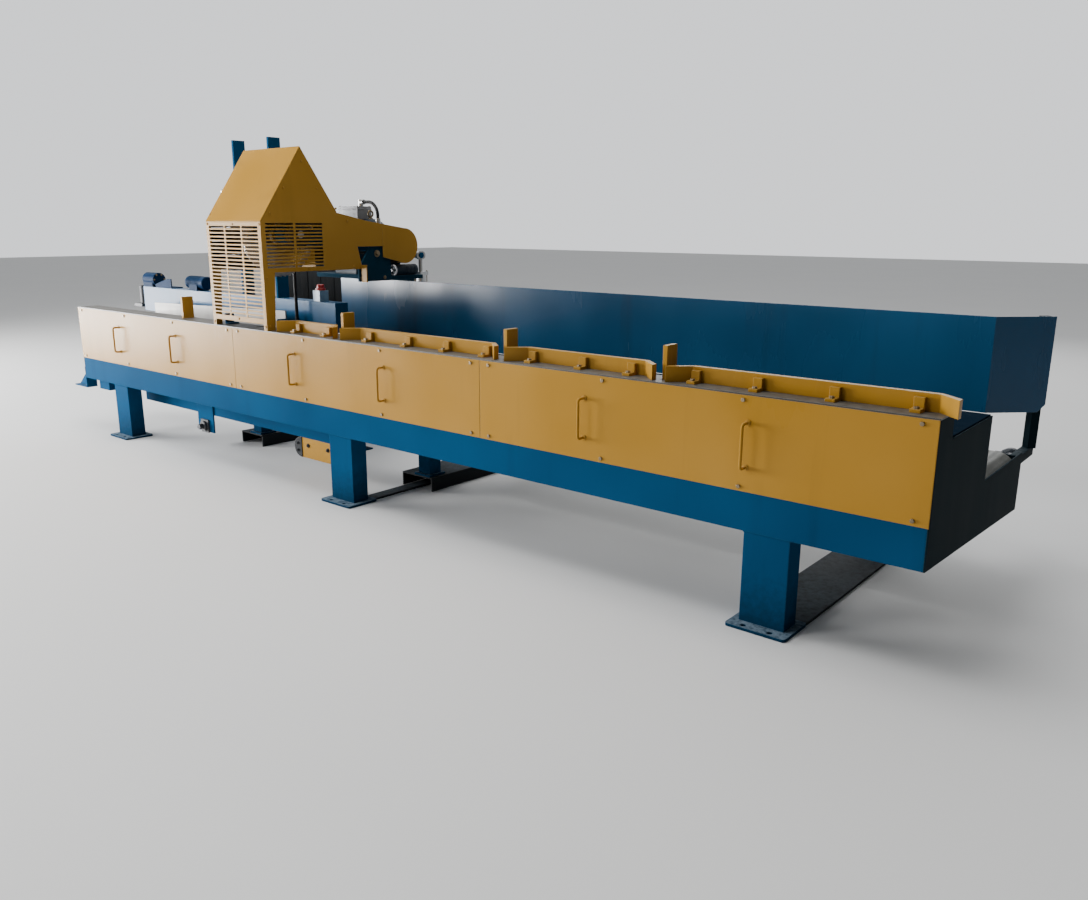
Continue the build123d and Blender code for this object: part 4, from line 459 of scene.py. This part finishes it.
nodeFinishes = {
    "ochre": ["cover_panel_left", "cover_panel_middle", "cover_panel_right", "panel_handles", "fence_rails",
              "fence_brackets", "kicker_arms", "hood_front", "hood_sides", "hood_roof", "belt_guard",
              "chain_guard"],
    "satinBlue": ["front_beam", "front_legs", "rear_legs", "bed_frame", "cabinet_frame", "sub_rail",
                  "frame_brackets", "holddown_frame", "swing_arm"],
    "wallBlue": ["back_wall"],
    "paintedLitBlue": ["rear_beam"],
    "paintedShadeBlue": ["saw_pedestal"],
    "blackIron": ["floor_sills"],
    "dullBlue": ["end_plates", "conveyor_frame", "wall_posts"],
    "slate": ["drive_motor", "gearmotor"],
    "motorBlue": ["infeed_drive"],
    "strip": ["top_strip"],
    "cast": ["bearings", "drive_sheave", "arbor_sheave", "kicker_actuator", "infeed_post"],
    "steel": ["bed_roller_1", "bed_roller_2", "bed_roller_3", "roller_chain", "kicker_shaft", "drive_shaft",
              "arbor", "head_pulley", "tail_pulley", "feed_rod", "holddown_shoe"],
    "aluminium": ["feed_cylinder", "holddown_cylinder"],
    "greyCast": ["terminal_box"],
    "zinc": ["hex_bolts"],
    "board": ["side_plate"],
    "deck": ["bed_deck"],
    "blade": ["saw_blade"],
    "greyBelt": ["conveyor_belt"],
    "vBelt": ["drive_belt"],
    "button": ["estop_button"],
    "box": ["estop_box"],
    "sheath": ["motor_conduit"],
}


def dress(node, finish):
    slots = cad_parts[node].data.materials
    if len(slots) == 0:
        slots.append(finish)
    for place in range(len(slots)):
        slots[place] = finish


for finishName, nodes in nodeFinishes.items():
    for nodeName in nodes:
        dress(nodeName, finishes[finishName])
bareNodes = set(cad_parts) - {name for nodes in nodeFinishes.values() for name in nodes}
print("nodes painted:", sum(map(len, nodeFinishes.values())), "left bare:", sorted(bareNodes))

creaseAngle = math.radians(38)  # sharper edges than this stay hard
brokenEdge = 0.2  # of a ring's smaller side


def newPiece(name, shape, finish, body):  # a made mesh that rides on a body
    bmesh.ops.recalc_face_normals(shape, faces=shape.faces)
    for face in shape.faces:
        face.smooth = True
    mesh = bpy.data.meshes.new(name)
    shape.to_mesh(mesh)
    shape.free()
    mesh.materials.append(finishes[finish])
    mesh.set_sharp_from_angle(angle=creaseAngle)
    piece = bpy.data.objects.new(name, mesh)
    bpy.context.collection.objects.link(piece)
    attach(piece, body)


def boltPiece(name, shape):  # plated bolts and screws of the frame
    newPiece(name, shape, "zinc", "frame")


def skin(shape, loops):  # faces from each loop of points to the next
    for low, high in zip(loops, loops[1:]):
        for side in range(len(low)):
            after = (side + 1) % len(low)
            shape.faces.new((low[side], low[after], high[after], high[side]))


def closedSkin(shape, loops):
    skin(shape, loops)
    shape.faces.new(loops[0][::-1])
    shape.faces.new(loops[-1])


def turnedLoops(shape, base, axis, profile, sides):  # one loop for each step of (along, radius)
    turn = Vector(axis).to_track_quat("Z", "Y").to_matrix()
    angles = [math.tau * side / sides for side in range(sides)]
    loops = []
    for along, radius in profile:
        spots = [Vector((radius * math.cos(angle), radius * math.sin(angle), along)) for angle in angles]
        loops.append([shape.verts.new((Vector(base) + turn @ spot) / metre) for spot in spots])
    return loops


def turned(shape, base, axis, profile, sides=24):  # closed turned body
    closedSkin(shape, turnedLoops(shape, base, axis, profile, sides))


def turnedRing(shape, base, axis, inner, outer, length, sides=32):  # ring with broken outer edges
    soft = min(length, outer - inner) * brokenEdge
    profile = [(0, inner), (0, outer - soft), (soft, outer), (length - soft, outer), (length, outer - soft),
               (length, inner)]
    loops = turnedLoops(shape, base, axis, profile, sides)
    skin(shape, [*loops, loops[0]])


def softBlock(shape, low, high, edge):  # block with rounded edges
    low, high = Vector(low) / metre, Vector(high) / metre
    place = Matrix.Translation((low + high) / 2) @ Matrix.Diagonal((*(high - low), 1.0))
    corners = bmesh.ops.create_cube(shape, size=1.0, matrix=place)["verts"]
    edges = list({line for corner in corners for line in corner.link_edges})
    bmesh.ops.bevel(shape, geom=edges, offset=edge / metre, segments=2, profile=0.7, affect="EDGES")


hexWasher = ((0, 0.92), (0.12, 0.92))  # along and radius, as shares of the width across flats
hexHead = ((0.12, 0.577), (0.62, 0.577), (0.72, 0.47))
capHead = ((0, 1), (0.35, 1), (0.6, 0.72), (0.5, 0.3))  # as shares of the head's radius


def scaled(profile, size):
    return [(along * size, radius * size) for along, radius in profile]


def hexScrew(shape, base, axis, across):  # washer and six-sided head with a turned top
    turned(shape, base, axis, scaled(hexWasher, across), sides=20)
    turned(shape, base, axis, scaled(hexHead, across), sides=6)


def capScrew(shape, base, axis, radius):  # low round head with a dished top
    turned(shape, base, axis, scaled(capHead, radius), sides=14)


def aroundX(count, shift=0.0):  # even directions about an axis along X
    angles = [math.tau * (number + shift) / count for number in range(count)]
    return [Vector((0, math.cos(angle), math.sin(angle))) for angle in angles]


def barrelAxis(low, high):  # middle line of a round body along X that stands on feet
    return Vector((0, (low.y + high.y) / 2, high.z - (high.y - low.y) / 2))


def fourSpots(low, high, inset):  # corners of a rectangle, set in from its sides
    return [(a, b) for a in (low[0] + inset, high[0] - inset) for b in (low[1] + inset, high[1] - inset)]


driveMotorDetail = {
    "ringRadii": (28, 58, 88, 118, 146), "ringHalf": 4, "ringHeight": 7, "spokes": 12, "spokeStart": 20,
    "spokeOut": 3, "spoke": ((0, 3.5), (132, 3.5)), "hub": ((0, 24), (7, 24), (10, 18)), "bolts": 4,
    "boltRing": 92, "boltAcross": 13, "eyeInset": 98, "eyeRise": 33, "eyeInner": 15, "eyeOuter": 25,
    "eyeThick": 10, "footSink": 6, "foot": ((0, 17), (10, 17), (14, 9), (20, 8)),
}


def driveMotorPieces(look):  # fan grille on the left end, bolts on the right end, a lifting eye on top
    low, high = nodeBox("drive_motor")
    axis = barrelAxis(low, high)
    left, right = Vector((low.x, axis.y, axis.z)), Vector((high.x, axis.y, axis.z))
    shape = bmesh.new()
    for radius in look["ringRadii"]:
        inner, outer = radius - look["ringHalf"], radius + look["ringHalf"]
        turnedRing(shape, left, toLeft, inner, outer, look["ringHeight"], sides=40)
    for way in aroundX(look["spokes"]):
        start = left + way * look["spokeStart"] + Vector(toLeft) * look["spokeOut"]
        turned(shape, start, way, look["spoke"], sides=8)
    turned(shape, left, toLeft, look["hub"])
    newPiece("motor_fan_grille", shape, "slate", "frame")
    shape = bmesh.new()
    for way in aroundX(look["bolts"], shift=0.5):
        hexScrew(shape, right + way * look["boltRing"], toRight, look["boltAcross"])
    eye = Vector((high.x - look["eyeInset"], axis.y, high.z))
    turned(shape, eye - Vector(toTop) * look["footSink"], toTop, look["foot"], sides=20)
    start = eye + Vector((-look["eyeThick"] / 2, 0, look["eyeRise"]))
    turnedRing(shape, start, toRight, look["eyeInner"], look["eyeOuter"], look["eyeThick"], sides=28)
    boltPiece("motor_bolts_and_eye", shape)


driveMotorPieces(driveMotorDetail)

terminalLid = {"proud": 2, "seamDrop": 15, "seamHeight": 8, "edge": 2.0, "screwInset": 10, "screwRadius": 6}


def terminalLidPieces(look):
    low, high = nodeBox("terminal_box")
    proud, top = look["proud"], high.z - look["seamDrop"]
    shape = bmesh.new()
    softBlock(shape, (low.x - proud, low.y - proud, top - look["seamHeight"]),
              (high.x + proud, high.y + proud, top), look["edge"])
    newPiece("terminal_lid_seam", shape, "greyCast", "frame")
    shape = bmesh.new()
    for x, y in fourSpots(low.xy, high.xy, look["screwInset"]):
        capScrew(shape, (x, y, high.z), toTop, look["screwRadius"])
    boltPiece("terminal_lid_screws", shape)


terminalLidPieces(terminalLid)

bearingBoxes = solidBoxes("bearings")
pillowBlock = {"lowest": 1200, "boltInset": 16, "footHeight": 25, "across": 22, "nippleSink": 2,
               "nipple": ((0, 7), (5, 7), (6, 4), (12, 4), (14, 5), (17, 3))}


def pillowBlockPieces(look):  # foot bolts and a grease nipple on each bearing of the drive shaft
    shape = bmesh.new()
    for low, high in bearingBoxes:
        if low.z > look["lowest"]:  # the other bearings are below the table
            middle = (low + high) / 2
            for y in (low.y + look["boltInset"], high.y - look["boltInset"]):
                hexScrew(shape, (middle.x, y, low.z + look["footHeight"]), toTop, look["across"])
            turned(shape, (middle.x, middle.y, high.z - look["nippleSink"]), toTop, look["nipple"], sides=12)
    boltPiece("pillow_block_bolts", shape)


pillowBlockPieces(pillowBlock)

flangeBearing = {"deepest": 30, "boltInset": 13, "across": 14, "noseLength": 16, "ringInner": 17,
                 "ringOuter": 25, "ringHeight": 9}


def flangeBearingPieces(look):  # each shaft has one bearing that looks to the front and one to the rear
    flat = [box for box in bearingBoxes if box[1].y - box[0].y < look["deepest"]]
    bolts, rings = bmesh.new(), bmesh.new()
    for low, high in flat:
        rearmost = max(box[0].y for box in flat if box[0].x == low.x)
        way, face = (-1, low.y) if low.y < rearmost else (1, high.y)
        for x, z in fourSpots(low.xz, high.xz, look["boltInset"]):
            hexScrew(bolts, (x, face - way * look["noseLength"], z), (0, way, 0), look["across"])
        nose = ((low.x + high.x) / 2, face, (low.z + high.z) / 2)
        turnedRing(rings, nose, (0, way, 0), look["ringInner"], look["ringOuter"], look["ringHeight"])
    boltPiece("flange_bearing_bolts", bolts)
    newPiece("flange_bearing_noses", rings, "cast", "frame")


flangeBearingPieces(flangeBearing)

stopButton = {"guardInner": 27, "guardOuter": 33, "guardHeight": 13, "screwInset": 6, "screwRadius": 3.5}


def stopButtonPieces(look):
    low, high = nodeBox("estop_box")
    top = ((low.x + high.x) / 2, (low.y + high.y) / 2, high.z)
    shape = bmesh.new()
    turnedRing(shape, top, toTop, look["guardInner"], look["guardOuter"], look["guardHeight"], sides=36)
    newPiece("stop_button_guard", shape, "button", "frame")
    shape = bmesh.new()
    for x, y in fourSpots(low.xy, high.xy, look["screwInset"]):
        capScrew(shape, (x, y, high.z), toTop, look["screwRadius"])
    boltPiece("stop_box_screws", shape)


stopButtonPieces(stopButton)

tieRod = {"endInset": 4, "nutShare": 2.4, "portInset": 12.5, "portOut": 7,
          "port": ((0, 10), (8, 10), (9, 7), (16, 7), (17, 9), (24, 9), (25, 5))}
clampCylinder = dict(tieRod, node="holddown_cylinder", radius=4.5, inset=9)
feedCylinder = dict(tieRod, node="feed_cylinder", radius=3.5, inset=7)


def tieRodPieces(name, look):  # four tie rods with nuts on top, and two air ports
    low, high = nodeBox(look["node"])
    radius, inset = look["radius"], look["inset"]
    shape = bmesh.new()
    rod = [(0, radius), (high.z - low.z - 2 * look["endInset"], radius)]
    for x, y in fourSpots(low.xy, high.xy, inset):
        turned(shape, (x, y, low.z + look["endInset"]), toTop, rod, sides=12)
        hexScrew(shape, (x, y, high.z), toTop, radius * look["nutShare"])
    boltPiece(name + "_tie_rods", shape)
    shape = bmesh.new()
    rear = high.y - inset + look["portOut"]
    for z in (low.z + look["portInset"], high.z - look["portInset"]):
        turned(shape, ((low.x + high.x) / 2, rear, z), toRear, look["port"], sides=12)
    newPiece(name + "_air_ports", shape, "steel", "frame")


tieRodPieces("clamp_cylinder", clampCylinder)
tieRodPieces("feed_cylinder", feedCylinder)

clampPad = {"inset": 6, "thick": 12, "back": 5, "bars": 9, "groove": 5, "edge": 2.0, "backEdge": 1.5}


def clampPadPiece(look):  # grooved rubber under the hold-down shoe
    low, high = nodeBox("holddown_shoe")
    left, right = low.x + look["inset"], high.x - look["inset"]
    front, rear = low.y + look["inset"], high.y - look["inset"]
    step = (right - left) / look["bars"]
    shape = bmesh.new()
    for number in range(look["bars"]):
        start = left + number * step
        softBlock(shape, (start, front, low.z - look["thick"]), (start + step - look["groove"], rear, low.z),
                  look["edge"])
    softBlock(shape, (left, front, low.z - look["back"]), (right, rear, low.z), look["backEdge"])
    newPiece("clamp_pad", shape, "pad", "holddown_shoe")


clampPadPiece(clampPad)

sawTips = {"count": 48, "inset": 0.4, "deep": 8.0, "half": 2.9, "thick": 3.4, "relief": 1.2, "taper": 0.02}


def sawTipPiece(look):  # a tapered carbide tip on each tooth
    low, high = nodeBox("saw_blade")
    centre, radius = (low + high) / 2, (high.z - low.z) / 2 - look["inset"]
    deep, thick = look["deep"], look["thick"]
    outline = ((0, 0), (-deep, 0), (-deep, thick), (-look["relief"], thick))  # out, ahead
    shape = bmesh.new()
    for out in aroundX(look["count"]):
        ahead = Vector((0, -out.z, out.y))
        loops = []
        for side in (-look["half"], look["half"]):
            loop = []
            for reach, along in outline:
                across = Vector((side * (1 + reach * look["taper"]), 0, 0))
                spot = centre + out * (radius + reach) + ahead * along + across
                loop.append(shape.verts.new(spot / metre))
            loops.append(loop)
        closedSkin(shape, loops)
    newPiece("saw_tips", shape, "steel", "arbor")


sawTipPiece(sawTips)


def finRings(shape, start, axis, step, look):  # cooling fins along a motor
    for number in range(look["fins"]):
        base = Vector(start) + Vector(axis) * number * step
        turnedRing(shape, base, axis, look["finInner"], look["finOuter"], step * look["finShare"], sides=36)


infeedMotor = {"fins": 9, "finStart": 22, "finSpare": 60, "finInner": 45, "finOuter": 50, "finShare": 0.45,
               "capSink": 4, "cap": ((0, 49), (18, 49), (24, 43)), "headBolts": 6, "boltRing": 42,
               "boltAcross": 9}


def infeedMotorPieces(look):  # fins and fan cap on the motor, bolts on the gear head at the far left
    boxes = solidBoxes("infeed_drive")
    low, high = boxes[-1]
    axis = barrelAxis(low, high)
    step = (high.x - low.x - look["finSpare"]) / look["fins"]
    shape = bmesh.new()
    finRings(shape, (low.x + look["finStart"], axis.y, axis.z), toRight, step, look)
    turned(shape, (high.x - look["capSink"], axis.y, axis.z), toRight, look["cap"], sides=32)
    newPiece("infeed_motor_fins", shape, "motorBlue", "frame")
    low, high = boxes[0]
    face = barrelAxis(low, high) + Vector((high.x, 0, 0))
    shape = bmesh.new()
    for way in aroundX(look["headBolts"]):
        hexScrew(shape, face + way * look["boltRing"], toRight, look["boltAcross"])
    boltPiece("gear_head_bolts", shape)


infeedMotorPieces(infeedMotor)

gearmotorBoxes = solidBoxes("gearmotor")
takeawayMotor = {"length": 135, "fins": 7, "spare": 30, "finInner": 42, "finOuter": 48, "finShare": 0.4}


def takeawayMotorPieces(look):
    low, high = gearmotorBoxes[-1]
    x, z = (low.x + high.x) / 2, high.z - (high.x - low.x) / 2
    step = (look["length"] - look["spare"]) / look["fins"]
    shape = bmesh.new()
    finRings(shape, (x, high.y - look["length"], z), toRear, step, look)
    newPiece("takeaway_motor_fins", shape, "slate", "frame")


takeawayMotorPieces(takeawayMotor)

pumpMotor = {"rimSink": 6, "rimWall": 7, "rimProud": 1.5, "rimHeight": 9, "boss": ((0, 9), (14, 9), (16, 7))}


def pumpMotorPieces(look):
    low, high = gearmotorBoxes[0]
    middle = (low + high) / 2
    radius = (high.x - low.x) / 2
    shape = bmesh.new()
    turnedRing(shape, (middle.x, low.y + look["rimSink"], middle.z), toFront, radius - look["rimWall"],
               radius + look["rimProud"], look["rimHeight"], sides=36)
    turned(shape, (middle.x, low.y, middle.z), toFront, look["boss"], sides=16)
    newPiece("pump_motor_rim", shape, "greyCast", "frame")


pumpMotorPieces(pumpMotor)

cheekBolts = {  # rearward, upward, across flats
    "spots": ((147, 170, 24), (17, 20, 13), (207, 20, 13), (237, 190, 13)),
}


def cheekBoltPiece(look):  # on the right face of the pedestal's cheek
    low, high = solidBoxes("saw_pedestal")[-1]
    shape = bmesh.new()
    for rearward, upward, across in look["spots"]:
        hexScrew(shape, (high.x, low.y + rearward, low.z + upward), toRight, across)
    boltPiece("cheek_bolts", shape)


cheekBoltPiece(cheekBolts)

chainGuardTrim = {"bolts": ((134, 80), (324, 80)), "boltAcross": 15, "capMiddle": (62.4, 62.5),  # right, up
                  "capRadius": 61.5, "capRight": 73, "capThick": 4, "capSteps": 24,
                  "capBolts": ((34, 85), (34, 40)), "capAcross": 12}


def chainGuardPieces(look):  # cover bolts, and a black end cap with its own bolts
    low = nodeBox("chain_guard")[0]
    front = low.y - look["capThick"]
    shape = bmesh.new()
    for right, up in look["bolts"]:
        hexScrew(shape, (low.x + right, low.y, low.z + up), toFront, look["boltAcross"])
    newPiece("chain_guard_bolts", shape, "blackIron", "frame")
    x, z = low.x + look["capMiddle"][0], low.z + look["capMiddle"][1]
    turns = [math.pi * (0.5 + step / look["capSteps"]) for step in range(look["capSteps"] + 1)]
    rim = [(x + look["capRadius"] * math.cos(turn), z + look["capRadius"] * math.sin(turn)) for turn in turns]
    right = low.x + look["capRight"]
    rim = [(right, rim[0][1]), *rim, (right, rim[-1][1])]
    shape = bmesh.new()
    closedSkin(shape, [[shape.verts.new(Vector((rimX, y, rimZ)) / metre) for rimX, rimZ in rim]
                       for y in (low.y, front)])
    for right, up in look["capBolts"]:
        hexScrew(shape, (low.x + right, front, low.z + up), toFront, look["capAcross"])
    newPiece("chain_guard_cap", shape, "blackIron", "frame")


chainGuardPieces(chainGuardTrim)

hoodLow, hoodHigh = nodeBox("hood_front")  # what follows in the hood is measured from its front sheet
hoodTrim = {
    "sideScrews": ((25, 27), (25, 297), (35, 587), (305, 342), (645, 342), (605, 617), (525, 687), (395, 797),
                   (295, 947), (165, 797), (65, 657)),  # rearward, up
    "sideInset": 14, "topInset": 13, "footRise": 22, "middleRise": 53, "screwRadius": 6.5,
}


def hoodTrimPieces(look):
    shape = bmesh.new()
    for rearward, up in look["sideScrews"]:
        capScrew(shape, (hoodHigh.x, hoodLow.y + rearward, hoodLow.z + up), toRight, look["screwRadius"])
    for x, rise in ((hoodLow.x + look["sideInset"], look["footRise"]),
                    ((hoodLow.x + hoodHigh.x) / 2, look["middleRise"]),
                    (hoodHigh.x - look["sideInset"], look["footRise"])):
        for z in (hoodHigh.z - look["topInset"], hoodLow.z + rise):
            capScrew(shape, (x, hoodLow.y, z), toFront, look["screwRadius"])
    newPiece("hood_screws", shape, "ochre", "frame")


hoodTrimPieces(hoodTrim)

hoodShadeLining = {"left": 4, "front": 25, "rear": 603, "low": 333, "high": 657, "thick": 8, "bars": 4, "gap": 2,
              "edge": 3.0}


def hoodShadeLiningPiece(look):  # dark rubber bars inside the hood's left sheet: a dark sheet that paints shade into the hood behind the front grille
    left = hoodLow.x + look["left"]
    front, rear = hoodLow.y + look["front"], hoodLow.y + look["rear"]
    tall = (look["high"] - look["low"]) / look["bars"]
    shape = bmesh.new()
    for number in range(look["bars"]):
        low = hoodLow.z + look["low"] + number * tall
        softBlock(shape, (left, front, low), (left + look["thick"], rear, low + tall - look["gap"]),
                  look["edge"])
    newPiece("hood_shade_lining", shape, "pad", "frame")


hoodShadeLiningPiece(hoodShadeLining)

rubberStrip = {"thick": 3, "play": 0.4, "uneven": 3, "edge": 1.2}


def hangingStrips(shape, low, high, count, lap, way):  # every other strip hangs before or behind the rest
    thick = rubberStrip["thick"]
    step = (high.x - low.x - lap) / count
    for number in range(count):
        left = low.x + number * step
        front = low.y + way * (number % 2) * thick
        bottom = low.z + (number % 3) * rubberStrip["uneven"]
        softBlock(shape, (left, front, bottom),
                  (left + step + lap, front + thick - rubberStrip["play"], high.z), rubberStrip["edge"])


hoodShadeCurtain = {"left": 226, "width": 108, "rearward": 603, "low": 327, "high": 657, "strips": 4, "lap": 4,
               "barFront": 8, "barRear": 3.2, "barHeight": 34, "barEdge": 1.5}


def hoodShadeCurtainPiece(look):  # dark rubber strips beside the arm's slot, under a clamping bar: a dark sheet that paints shade into the gap behind the right grille
    low = hoodLow + Vector((look["left"], look["rearward"], look["low"]))
    high = Vector((low.x + look["width"], low.y, hoodLow.z + look["high"]))
    shape = bmesh.new()
    hangingStrips(shape, low, high, look["strips"], look["lap"], -1)
    softBlock(shape, (low.x, low.y - look["barFront"], high.z - look["barHeight"]),
              (high.x, low.y - look["barRear"], high.z), look["barEdge"])
    newPiece("hood_shade_curtain", shape, "pad", "frame")


hoodShadeCurtainPiece(hoodShadeCurtain)

shadeScreen = {"gap": 4, "width": 804, "rearward": 1, "lowRise": 200, "highRise": 70, "strips": 10, "lap": 6,
              "railHeight": 26, "railProud": 2, "bar": 14, "floorPost": 14, "legPost": 786, "foot": 14,
              "footFront": 12, "footRear": 30, "footHeight": 6, "edge": 1.5, "footEdge": 1.2, "across": 10}


def shadeScreenPieces(look):  # dark rubber strips on a rail, a dark sheet standing in for the shade behind the hood; one post on the floor, one on a rear leg
    wallLow, wallHigh = nodeBox("back_wall")
    legTop = nodeBox("rear_legs")[1].z
    right = wallLow.x - look["gap"]
    low = Vector((right - look["width"], wallLow.y + look["rearward"], wallLow.z + look["lowRise"]))
    high = Vector((right, low.y, wallHigh.z + look["highRise"]))
    shape = bmesh.new()
    hangingStrips(shape, low, high, look["strips"], look["lap"], 1)
    newPiece("shade_screen", shape, "pad", "frame")
    railFront, bar = low.y + 2 * rubberStrip["thick"], look["bar"]
    postFront = railFront + bar
    railMiddle = high.z + (look["railProud"] - look["railHeight"]) / 2
    shape = bmesh.new()
    softBlock(shape, (low.x, railFront, high.z - look["railHeight"]),
              (high.x, postFront, high.z + look["railProud"]), look["edge"])
    for start, foot in ((look["floorPost"], 0.0), (look["legPost"], legTop)):
        left = low.x + start
        softBlock(shape, (left, postFront, foot), (left + bar, postFront + bar, high.z), look["edge"])
        softBlock(shape, (left - look["foot"], postFront - look["footFront"], foot),
                  (left + bar + look["foot"], postFront + look["footRear"], foot + look["footHeight"]),
                  look["footEdge"])
        hexScrew(shape, (left + bar / 2, postFront + bar, railMiddle), toRear, look["across"])
    newPiece("shade_screen_rail", shape, "blackIron", "frame")


shadeScreenPieces(shadeScreen)

legWeld = {"wide": 187, "rearward": 60, "deep": 100, "radius": 7, "hollow": 0.85, "ripple": 6}


def legWeldPiece(look):  # rippled weld beads where the legs meet the beam
    shape = bmesh.new()
    for low, high in solidBoxes("front_legs"):
        left = (low.x + high.x - look["wide"]) / 2
        right, front = left + look["wide"], low.y + look["rearward"]
        for x, way, length in ((left, toRight, look["wide"]), (right, toRear, look["deep"]),
                               (left, toRear, look["deep"])):
            ripples = int(length / look["ripple"])
            radii = [look["radius"] * (look["hollow"] if step % 2 else 1) for step in range(ripples + 1)]
            profile = [(length * step / ripples, radius) for step, radius in enumerate(radii)]
            turned(shape, (x, front, high.z), way, profile, sides=8)
    newPiece("leg_welds", shape, "satinBlue", "frame")


legWeldPiece(legWeld)
print("detail pieces made")

cameraLook = {"place": (4.0676, -3.7356, 1.5039), "turn": 39.763, "tilt": 76.179, "roll": 0.194,
              "sensor": 36.0, "lens": 30.146, "shiftX": 0.0031, "shiftY": -0.0017, "farthest": 200.0}
cameraData = bpy.data.cameras.new("photoCamera")
cameraData.sensor_width = cameraLook["sensor"]
cameraData.lens = cameraLook["lens"]
cameraData.shift_x = cameraLook["shiftX"]
cameraData.shift_y = cameraLook["shiftY"]
cameraData.clip_end = cameraLook["farthest"]
photoCamera = bpy.data.objects.new("photoCamera", cameraData)
bpy.context.collection.objects.link(photoCamera)
photoCamera.matrix_world = (
    Matrix.Translation(cameraLook["place"])
    @ Matrix.Rotation(math.radians(cameraLook["turn"]), 4, "Z")
    @ Matrix.Rotation(math.radians(cameraLook["tilt"]), 4, "X")
    @ Matrix.Rotation(math.radians(cameraLook["roll"]), 4, "Z")
)
bpy.context.scene.camera = photoCamera

worldLook = {"bright": (1.0, 1.02, 1.05, 1), "dim": (0.115, 0.118, 0.12, 1), "strength": 1.15}
studioWorld = bpy.data.worlds.new("paleStudio")  # pale behind, dim in front and to the right
bpy.context.scene.world = studioWorld
room = Finish(studioWorld, {"Strength": worldLook["strength"]}, "Background", "Generated")
behind = room.spread(room.split(room.place, 1), low=-0.25, high=0.15)
leftward = room.spread(room.split(room.place, 0), low=0.20, high=-0.12)
room.paint({"Color": room.mix(behind * leftward, worldLook["dim"], worldLook["bright"])})

panelLights = [  # name, place, aim, width, height, watts
    ("doorwayPanel", (-8.6, -4.2, 1.6), (-2.2, -0.4, 0.7), 4.2, 3.0, 1400),
    ("doorSillPanel", (-7.4, -3.1, 0.32), (-2.4, -0.7, 0.8), 1.9, 0.6, 190),
    ("wallGleamLeft", (-8.3, -5.5, 0.75), (-8.3, 0.5, 0.75), 1.15, 1.4, 150),
    ("wallGleamRight", (-6.65, -5.5, 0.75), (-6.65, 0.5, 0.75), 1.7, 1.4, 190),
    ("frontPanel", (-3.6, -8.4, 5.2), (0.4, 0.0, 0.7), 3.0, 2.0, 360),
    ("topPanel", (-0.6, -0.8, 6.6), (-0.4, 0.1, 0.6), 6.0, 3.6, 330),
    ("rearPanel", (-1.0, 8.4, 4.6), (0.0, 0.2, 0.9), 6.0, 2.4, 260),
]
for name, place, aim, width, height, watts in panelLights:
    lightData = bpy.data.lights.new(name, "AREA")
    lightData.shape = "RECTANGLE"
    lightData.size = width
    lightData.size_y = height
    lightData.energy = watts
    light = bpy.data.objects.new(name, lightData)
    bpy.context.collection.objects.link(light)
    light.location = place
    light.rotation_euler = (Vector(aim) - Vector(place)).to_track_quat("-Z", "Y").to_euler()
    light.visible_camera = False

floorLook = {"half": 40.0, "cuts": 4, "drop": 0.001, "rough": 0.75, "grain": 0.6,
             "colour": (0.80, 0.80, 0.79, 1), "patch": (0.76, 0.76, 0.75, 1)}
floorFinish = newFinish("paleFloor", {"Roughness": floorLook["rough"]})
floorTone = floorFinish.mix(floorFinish.grain(floorLook["grain"]), floorLook["colour"], floorLook["patch"])
floorShape = bmesh.new()
bmesh.ops.create_grid(floorShape, x_segments=floorLook["cuts"], y_segments=floorLook["cuts"],
                      size=floorLook["half"])
floorMesh = bpy.data.meshes.new("studioFloor")
floorShape.to_mesh(floorMesh)
floorShape.free()
floorMesh.materials.append(floorFinish.paint({"Base Color": floorTone}))
studioFloor = bpy.data.objects.new("studioFloor", floorMesh)
bpy.context.collection.objects.link(studioFloor)
studioFloor.location.z = -floorLook["drop"]
print("camera, light and floor set")
